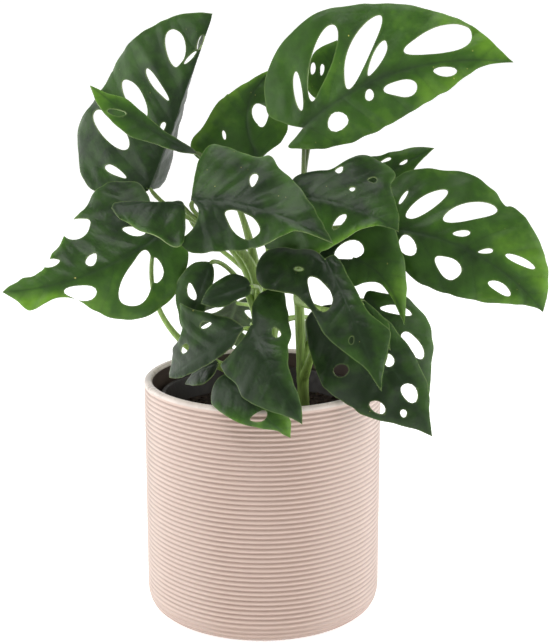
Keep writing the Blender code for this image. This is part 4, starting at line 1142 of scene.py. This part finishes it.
def hole_edge(hole, length):
    """An oblong, slightly uneven hole, rounder towards the leaf's edge, as points in mm."""
    start, end = np.array(hole[:2], float), np.array(hole[2:4], float)
    axis = (end - start) * 0.5
    sides = max(14, round(np.linalg.norm(axis) * length * 2.5))
    across = unit(np.array([-axis[1], axis[0]])) * hole[4] * 0.5
    angles = math.tau * (np.arange(sides) + 0.5) / sides
    along, over = np.cos(angles)[:, None], np.sin(angles)[:, None]
    lean = math.tau * 7.3 * (hole[0] + 2.1 * hole[1] + 0.7 * hole[2])
    uneven = 1 + 0.07 * np.cos(2 * angles + lean) + 0.06 * np.cos(3 * angles + 1.7 * lean)
    uneven = uneven[:, None]
    shape = axis * along * uneven + across * over * (1 + 0.15 * along) * uneven
    return ((start + end) * 0.5 + shape) * length


def inside(loop, points):
    """Which of the points lie inside a closed loop."""
    nxt = np.roll(loop, -1, axis=0)
    x, y = points[:, :1], points[:, 1:]
    spans = (loop[:, 1] > y) != (nxt[:, 1] > y)
    rise = np.where(spans, nxt[:, 1] - loop[:, 1], 1.0)
    crossing = loop[:, 0] + (y - loop[:, 1]) / rise * (nxt[:, 0] - loop[:, 0])
    return np.count_nonzero(spans & (x < crossing), axis=1) % 2 == 1


def on_blade(loops, points):
    """Which of the points lie on the blade and in none of its holes."""
    kept = inside(loops[0], points)
    for hole in loops[1:]:
        kept &= ~inside(hole, points)
    return kept


def side_veins(leaf, side):
    """Where one half's veins leave the midrib and how far they slant forward, between holes."""
    spots = []
    for a, b, c, d, _ in leaf.holes:
        if (b + d) * side > 0:
            across = abs(d) - abs(b)
            slant = (c - a) / across if abs(across) > 0.06 else PLAIN_SLANT
            slant = min(max(slant, LEAST_SLANT), MOST_SLANT)
            spots.append(((a + c) * 0.5 - slant * abs(b + d) * 0.5, slant))
    spots.sort()
    lanes = [((p[0] + q[0]) * 0.5, (p[1] + q[1]) * 0.5)
             for p, q in zip(spots, spots[1:]) if q[0] - p[0] > HOLE_GAP]
    for index in range(8):
        start = FIRST_VEIN + VEIN_PITCH * index
        clear = all(abs(start - lane[0]) > LANE_GAP for lane in lanes)
        if clear and all(abs(start - spot[0]) > SPOT_GAP for spot in spots):
            lanes.append((start, 0.35 + 0.6 * start))
    return sorted(lanes)


def vein_distance(leaf, flat, length):
    """Each flat point's distance in mm to the nearest side vein."""
    nearest = np.full(len(flat), 99.0)
    width = np.abs(flat[:, 1])
    for side in (1, -1):
        half = flat[:, 1] * side >= 0
        for start, slant in side_veins(leaf, side):
            off = flat[:, 0] - (start + slant * width + VEIN_CURVE * width ** 2)
            lean = np.sqrt(1 + (slant + 2 * VEIN_CURVE * width) ** 2)
            nearest = np.where(half, np.minimum(nearest, np.abs(off) * length / lean), nearest)
    return nearest


def vein_points(leaf, length):
    """Points in mm along the veins and just beside them."""
    steps = np.arange(0.0, 0.75, 1.3 / length)
    rows = []
    rib = np.arange(0.4 / length, 1.0, 1.2 / length)
    for beside in RIB_ROWS:
        rows.append(np.stack([rib * length, np.full(len(rib), beside)], axis=1))
    for side in (1, -1):
        for start, slant in side_veins(leaf, side):
            reach = start + slant * steps + VEIN_CURVE * steps ** 2
            line = np.stack([reach, steps * side], axis=1)
            for beside in VEIN_ROWS:
                rows.append(line * length + np.array([beside, 0.0]))
    return np.concatenate(rows)


def inset_points(loop, distance):
    """Points beside a loop, on both of its sides."""
    across = across_loop(loop) * distance
    return np.concatenate([loop + across, loop - across])


class Spread:
    """Takes points in mm that keep a distance from those already taken."""
    CELL = 1.5

    def __init__(self, points):
        self.cells = {}
        self.points = []
        for point in points:
            self.take(point)

    def cell(self, point):
        return int(point[0] // self.CELL), int(point[1] // self.CELL)

    def take(self, point):
        spot = (float(point[0]), float(point[1]))
        self.cells.setdefault(self.cell(point), []).append(spot)
        self.points.append(spot)

    def is_free(self, point, distance):
        column, row = self.cell(point)
        for x in (column - 1, column, column + 1):
            for y in (row - 1, row, row + 1):
                for other in self.cells.get((x, y), ()):
                    if math.hypot(point[0] - other[0], point[1] - other[1]) < distance:
                        return False
        return True

    def add(self, points, distance):
        for point in points:
            if self.is_free(point, distance):
                self.take(point)


def blade_sheet(leaf, step):
    """Points in mm and triangles of a flat blade with its holes left open, and its loops."""
    length = leaf_axes(leaf)[4]
    loops = [uneven_edge(outline(leaf, length))]
    loops += [hole_edge(hole, length) for hole in leaf.holes]
    edges, count = [], 0
    for loop in loops:
        edges += [(count + i, count + (i + 1) % len(loop)) for i in range(len(loop))]
        count += len(loop)
    spread = Spread(np.concatenate(loops))
    inset = np.concatenate([inset_points(loop, EDGE_ROW) for loop in loops])
    spread.add(inset[on_blade(loops, inset)], 0.6)
    veins = vein_points(leaf, length)
    spread.add(veins[on_blade(loops, veins)], 0.5)
    low, high = loops[0].min(axis=0), loops[0].max(axis=0)
    columns, rows = np.arange(low[0], high[0], step), np.arange(low[1], high[1], step * 0.87)
    grid = np.array([(x + 0.5 * step * (k % 2), y) for k, y in enumerate(rows) for x in columns])
    spread.add(grid[on_blade(loops, grid)], step * 0.62)
    places, _, faces, _, _, _ = delaunay_2d_cdt(
        [Vector(point) for point in spread.points], edges, [], 0, 0.02)
    places = np.array([tuple(place) for place in places])
    faces = np.array([tuple(face) for face in faces])
    faces = faces[on_blade(loops, places[faces].mean(axis=1))]
    used, faces = np.unique(faces, return_inverse=True)
    return places[used], faces.reshape(-1, 3), loops


def blade_relief(name, leaf, flat, from_edge, settings):
    """Each point's rise off the smooth blade, mm, its share of a vein, and of the midrib."""
    length = leaf_axes(leaf)[4]
    pick = random.Random(name)
    phase, turns = pick.uniform(0, math.tau), pick.uniform(2.2, 3.4)
    to_rib = np.abs(flat[:, 1]) * length
    to_vein = vein_distance(leaf, flat, length)
    fade = 1 - 0.7 * np.clip(flat[:, 0], 0, 1)
    rib = np.exp(-(to_rib / (RIB_WIDTH * fade + 0.2)) ** 2)
    vein = np.exp(-(to_vein / VEIN_WIDTH) ** 2)
    vein *= np.clip(1.2 - 1.6 * np.abs(flat[:, 1]), 0, 1)
    size = min(1.0, length / FULL_SIZE)
    forward = flat[:, 0] - 0.6 * np.abs(flat[:, 1])
    crease = noise_at(np.stack([forward, flat[:, 1]], axis=1) * length / CREASE_SIZE, phase)
    quilt = 1 - np.exp(-(np.minimum(to_rib, to_vein) / QUILT_WIDTH) ** 2)
    rise = settings.swell / MM * size * (0.75 + crease) * quilt
    crumpled = CRUMPLED.get(name, 1.0)
    rise += CREASE * crumpled * size * crease * np.clip(to_rib / 5, 0, 1)
    rise -= RIB_GROOVE * fade * rib + VEIN_GROOVE * vein
    out = np.clip(np.abs(flat[:, 1]) / 0.4, 0, 1) ** 2
    wave = np.sin(math.tau * turns * flat[:, 0] + phase + 2.0 * np.sign(flat[:, 1]))
    rise += settings.wave / MM * size * out * wave
    uneven = noise_at(flat * length / PUCKER_SIZE, phase * 3) * crumpled
    rise += settings.pucker / MM * size * uneven * (0.3 + 0.7 * np.sqrt(out))
    rise -= settings.curl / MM * np.exp(-(from_edge / CURL_WIDTH) ** 2)
    return rise, np.maximum(rib, 0.6 * vein), rib * fade


def turned_up(name, flat, from_edge):
    """How far the margin turns up at each point, mm."""
    rise = np.zeros(len(flat))
    for side, start, end, height in ROLLS.get(name, ()):
        there = np.clip(np.minimum(flat[:, 0] - start, end - flat[:, 0]) / 0.08, 0, 1)
        there *= flat[:, 1] * side > 0
        rise += there * height * np.exp(-(from_edge / ROLL_WIDTH) ** 2)
    return rise


def put_attribute(mesh, name, values):
    """Keeps a number for each point, for the finishes to read."""
    attribute = mesh.attributes.new(name, "FLOAT", "POINT")
    attribute.data.foreach_set("value", np.asarray(values, np.float32))


def map_blade(mesh, places):
    """A UV map that lies flat on the blade, 100 mm to a unit."""
    corners = np.empty(len(mesh.loops), np.int32)
    mesh.loops.foreach_get("vertex_index", corners)
    layer = mesh.uv_layers.new(name="blade")
    layer.data.foreach_set("uv", (places[corners] / 100).astype(np.float32).ravel())


def age_tone_and_painted_light(name, flat, places, from_edge, roll):
    """How young each point looks, with painted light and shade: darker along the midrib as
    painted shade in its groove, lighter towards the margin, with a painted highlight where the
    margin turns up and one half painted lighter than the other.
    """
    old, young, left = FRESHNESS_AND_HALF_LIGHT.get(name, PLAIN_FRESHNESS)
    age_and_painted_light = old + (young - old) * np.clip(flat[:, 0], 0, 1) ** 1.5
    # one half painted lighter than the other, lighter towards the edge, and a painted highlight
    # where the margin turns up
    age_and_painted_light += left * np.clip(flat[:, 1] * 6, -1, 1) + 0.1 * np.exp(-from_edge / 5) + 0.14 * roll
    # painted shade along the midrib's groove
    return age_and_painted_light - 0.22 * np.exp(-(places[:, 1] / 5) ** 2)


def blade(name, leaf, settings):
    """One blade: a holed sheet on the leaf's curve with raised quilting, then its thickness."""
    leaf = leaf._replace(holes=WIDER_HOLES.get(name, leaf.holes) + SLITS.get(name, ()))
    length = leaf_axes(leaf)[4]
    places, faces, loops = blade_sheet(leaf, settings.step / MM)
    flat = places / length
    mesh = bpy.data.meshes.new(f"{name}_blade")
    spots = blade_points(leaf, flat)
    mesh.from_pydata((spots * MM).tolist(), [], faces.tolist())
    normals = np.empty(len(places) * 3, np.float32)
    mesh.vertex_normals.foreach_get("vector", normals)
    from_edge = distance_to(loops[0], places)
    rise, vein, rib = blade_relief(name, leaf, flat, from_edge, settings)
    roll = turned_up(name, flat, from_edge)
    spots += normals.reshape(-1, 3) * (BLADE / 2 + rise + roll)[:, None]
    mesh.vertices.foreach_set("co", (spots * MM).ravel())
    put_attribute(mesh, "age_and_painted_light", age_tone_and_painted_light(name, flat, places, from_edge, roll))
    put_attribute(mesh, "vein", vein)
    on_edge = distance_to(np.concatenate(loops), places) < 0.05
    put_attribute(mesh, "rim", on_edge.astype(float))
    map_blade(mesh, places)
    piece = add_object(f"{name}_blade", mesh)
    thick = settings.rib_thickness / MM
    group = piece.vertex_groups.new(name="thickness")
    for index, share in enumerate(BLADE / thick + (1 - BLADE / thick) * rib):
        group.add([index], float(min(share, 1.0)), "REPLACE")
    return piece, thick


def distance_to(loop, places):
    """Each place's distance to the nearest point of a loop, mm."""
    return np.array([np.hypot(loop[:, 0] - x, loop[:, 1] - y).min() for x, y in places])


def leaf_blades(settings):
    """Every blade, thickest along its midrib."""
    finishes = upper_leaf(settings), under_leaf(settings), leaf_margin(settings)
    for name, leaf in LEAVES.items():
        piece, thick = blade(name, leaf, settings)
        dress(piece, name, "young_leaf" if "young" in name else "leaf", *finishes)
        shell = piece.modifiers.new("thickness", "SOLIDIFY")
        shell.thickness = thick * MM
        shell.offset = -1.0
        shell.vertex_group = "thickness"
        shell.material_offset = 1
        shell.material_offset_rim = 2
        apply_modifiers(piece)
        shade(piece, 50)


# ---------------------------------------------------------------- stems

def stem_point(stem, height):
    """The middle of a stem at a height, mm."""
    foot = np.array((*stem.foot, SOIL_TOP))
    top = np.array(stem.top, float)
    return foot + (top - foot) * (height - SOIL_TOP) / (top[2] - SOIL_TOP)


def petiole_path(leaf, count=26):
    """From inside the stem, up and out, into the blade's base."""
    base, along, _, up, _ = leaf_axes(leaf)
    start = stem_point(STEMS[leaf.stem], leaf.rise)
    if leaf.at_notch:
        end, arrival = base + along * 1.0 - up * 0.3, along
    else:
        end, arrival = base + along * 1.5 - up * (BLADE / 2 + 0.3), unit(up + 0.5 * along)
    reach = np.linalg.norm(end - start)
    pulls = [start + np.array([0, 0, 0.4 * reach]), end - arrival * min(0.25 * reach, 22)]
    pulls[:len(leaf.via)] = [np.array(point, float) for point in leaf.via]
    lift, back = pulls
    return [(1 - t) ** 3 * start + 3 * (1 - t) ** 2 * t * lift
            + 3 * (1 - t) * t ** 2 * back + t ** 3 * end for t in np.linspace(0, 1, count)]


def petiole_radius(t):
    """Wide and sheathing at its foot, slender in the middle, a little joint at the blade."""
    sheath = SHEATH * math.exp(-(t / SHEATH_SHARE) ** 2)
    joint = JOINT * math.exp(-((t - JOINT_AT) / 0.05) ** 2)
    end = 0.35 * max(0.0, (t - 0.97) / 0.03)
    return PETIOLE_FOOT - PETIOLE_TAPER * t + sheath + joint - end


def trunk_path(name, stem):
    """Middle and radius of a stem, with a swelling where each petiole leaves it."""
    bottom = SOIL_TOP - STEM_HOLE_DEPTH + GAP
    heights = [bottom, *np.arange(SOIL_TOP - 6, stem.top[2], 1.5), stem.top[2]]
    rises = [leaf.rise for leaf in LEAVES.values() if leaf.stem == name]
    path, radii = [], []
    for height in heights:
        path.append(stem_point(stem, height))
        part = max(0.0, height - SOIL_TOP) / (stem.top[2] - SOIL_TOP)
        node = sum(NODE_SWELL * math.exp(-((height - rise) / NODE_HEIGHT) ** 2)
                   for rise in rises)
        radii.append(STEM_RADIUS * (1 - 0.2 * part - 0.3 * part ** 6) + min(node, 0.5))
    path[0][:2] = stem.foot
    return path, radii


def stem_with_petioles(name, stem, finish):
    """A stem with the petioles of its leaves, joined in one solid."""
    trunk = tube(f"{name}_with_petioles", *trunk_path(name, stem), 24)
    arms = bpy.data.collections.new("petioles")
    bpy.context.scene.collection.children.link(arms)
    for leaf_name, leaf in LEAVES.items():
        if leaf.stem == name:
            path = petiole_path(leaf)
            radii = [petiole_radius(t) for t in np.linspace(0, 1, len(path))]
            arm = tube(f"{leaf_name}_petiole", path, radii, 16)
            bpy.context.scene.collection.objects.unlink(arm)
            arms.objects.link(arm)
    union = trunk.modifiers.new("petioles", "BOOLEAN")
    union.operation = "UNION"
    union.operand_type = "COLLECTION"
    union.collection = arms
    apply_modifiers(trunk)
    for arm in list(arms.objects):
        bpy.data.objects.remove(arm, do_unlink=True)
    bpy.data.collections.remove(arms)
    trunk.data.materials.clear()
    dress(trunk, name, "stem", finish)
    shade(trunk, 60)


# ---------------------------------------------------------------- stage

def soft_light(name, place, aim, width, height, power):
    """A large light that faces a point, in metres and watts."""
    only()
    bpy.ops.object.light_add(type="AREA", location=place)
    light = named(name)
    light.data.shape = "RECTANGLE"
    light.data.size = width
    light.data.size_y = height
    light.data.energy = power
    light.rotation_euler = (Vector(aim) - Vector(place)).to_track_quat("-Z", "Y").to_euler()


def surround(settings):
    """Even white light from all round."""
    world = bpy.data.worlds.new("white_surround")
    world.use_nodes = True
    light = world.node_tree.nodes["Background"]
    light.inputs["Color"].default_value = (1, 1, 1, 1)
    light.inputs["Strength"].default_value = settings.surround
    bpy.context.scene.world = world


def camera(settings):
    """The camera in front of the pot, looking slightly down."""
    only()
    bpy.ops.object.camera_add(location=(0, -settings.distance, settings.height),
                              rotation=(math.pi / 2 - settings.tilt, 0, -settings.turn))
    view = named("front_camera")
    view.data.lens = settings.lens
    view.data.sensor_width = 36
    bpy.context.scene.camera = view


# ---------------------------------------------------------------- operators

class MONSTERA_OT_cover_pot(bpy.types.Operator):
    """Make the ribbed ceramic cover pot"""
    bl_idname = "monstera.cover_pot"
    bl_label = "Cover pot"

    def execute(self, context):
        ribbed_pot(context.scene.monstera_pot)
        return {"FINISHED"}


class MONSTERA_OT_nursery_pot(bpy.types.Operator):
    """Make the thin plastic pot that holds the roots"""
    bl_idname = "monstera.nursery_pot"
    bl_label = "Grower's pot"

    def execute(self, context):
        nursery_pot(context.scene.monstera_pot)
        return {"FINISHED"}


class MONSTERA_OT_soil(bpy.types.Operator):
    """Make the root ball and the crumbs on it"""
    bl_idname = "monstera.soil"
    bl_label = "Soil"

    def execute(self, context):
        soil_ball(context.scene.monstera_pot)
        soil_crumbs(context.scene.monstera_pot)
        return {"FINISHED"}


class MONSTERA_OT_stems(bpy.types.Operator):
    """Make the stems with their petioles"""
    bl_idname = "monstera.stems"
    bl_label = "Stems"

    def execute(self, context):
        finish = green_stem(context.scene.monstera_plant)
        for name, stem in STEMS.items():
            stem_with_petioles(name, stem, finish)
        return {"FINISHED"}


class MONSTERA_OT_leaves(bpy.types.Operator):
    """Make the holed blades"""
    bl_idname = "monstera.leaves"
    bl_label = "Leaves"

    def execute(self, context):
        leaf_blades(context.scene.monstera_plant)
        return {"FINISHED"}


class MONSTERA_OT_stage(bpy.types.Operator):
    """Set up the pale floor, the soft light and the camera"""
    bl_idname = "monstera.stage"
    bl_label = "Stage"

    def execute(self, context):
        settings = context.scene.monstera_stage
        floor_sweep(settings)
        surround(settings)
        low, middle = (0, 0, 0.15), (0, 0, 0.2)
        for name, x in (("left_light", -1.05), ("right_light", 1.05)):
            soft_light(name, (x, 0, 0.4), low, 1.9, 0.75, settings.side_light)
        soft_light("top_light", (-0.2, -0.3, 1.3), middle, 0.8, 0.8, settings.top_light)
        camera(settings)
        context.scene.view_settings.view_transform = "Standard"
        return {"FINISHED"}


class MONSTERA_PT_plant(bpy.types.Panel):
    """Lists the makers and their settings"""
    bl_idname = "MONSTERA_PT_plant"
    bl_label = "Monstera"
    bl_space_type = "VIEW_3D"
    bl_region_type = "UI"
    bl_category = "Monstera"

    def draw(self, context):
        for maker in MAKERS:
            self.layout.operator(maker.bl_idname)
        for group in SETTINGS:
            settings = getattr(context.scene, group)
            box = self.layout.box()
            for name in settings.__annotations__:
                box.prop(settings, name)


SETTINGS = {"monstera_pot": PotSettings, "monstera_plant": PlantSettings,
            "monstera_stage": StageSettings}
MAKERS = (MONSTERA_OT_cover_pot, MONSTERA_OT_nursery_pot, MONSTERA_OT_soil,
          MONSTERA_OT_stems, MONSTERA_OT_leaves, MONSTERA_OT_stage)
CLASSES = (*SETTINGS.values(), *MAKERS, MONSTERA_PT_plant)


def register():
    for kind in CLASSES:
        bpy.utils.register_class(kind)
    for name, group in SETTINGS.items():
        setattr(bpy.types.Scene, name, PointerProperty(type=group))


def unregister():
    for name in SETTINGS:
        delattr(bpy.types.Scene, name)
    for kind in reversed(CLASSES):
        bpy.utils.unregister_class(kind)


def main():
    """Makes the whole plant."""
    register()
    bpy.ops.monstera.cover_pot()
    bpy.ops.monstera.nursery_pot()
    bpy.ops.monstera.soil()
    bpy.ops.monstera.stems()
    bpy.ops.monstera.leaves()
    bpy.ops.monstera.stage()


if __name__ == "__main__":
    main()
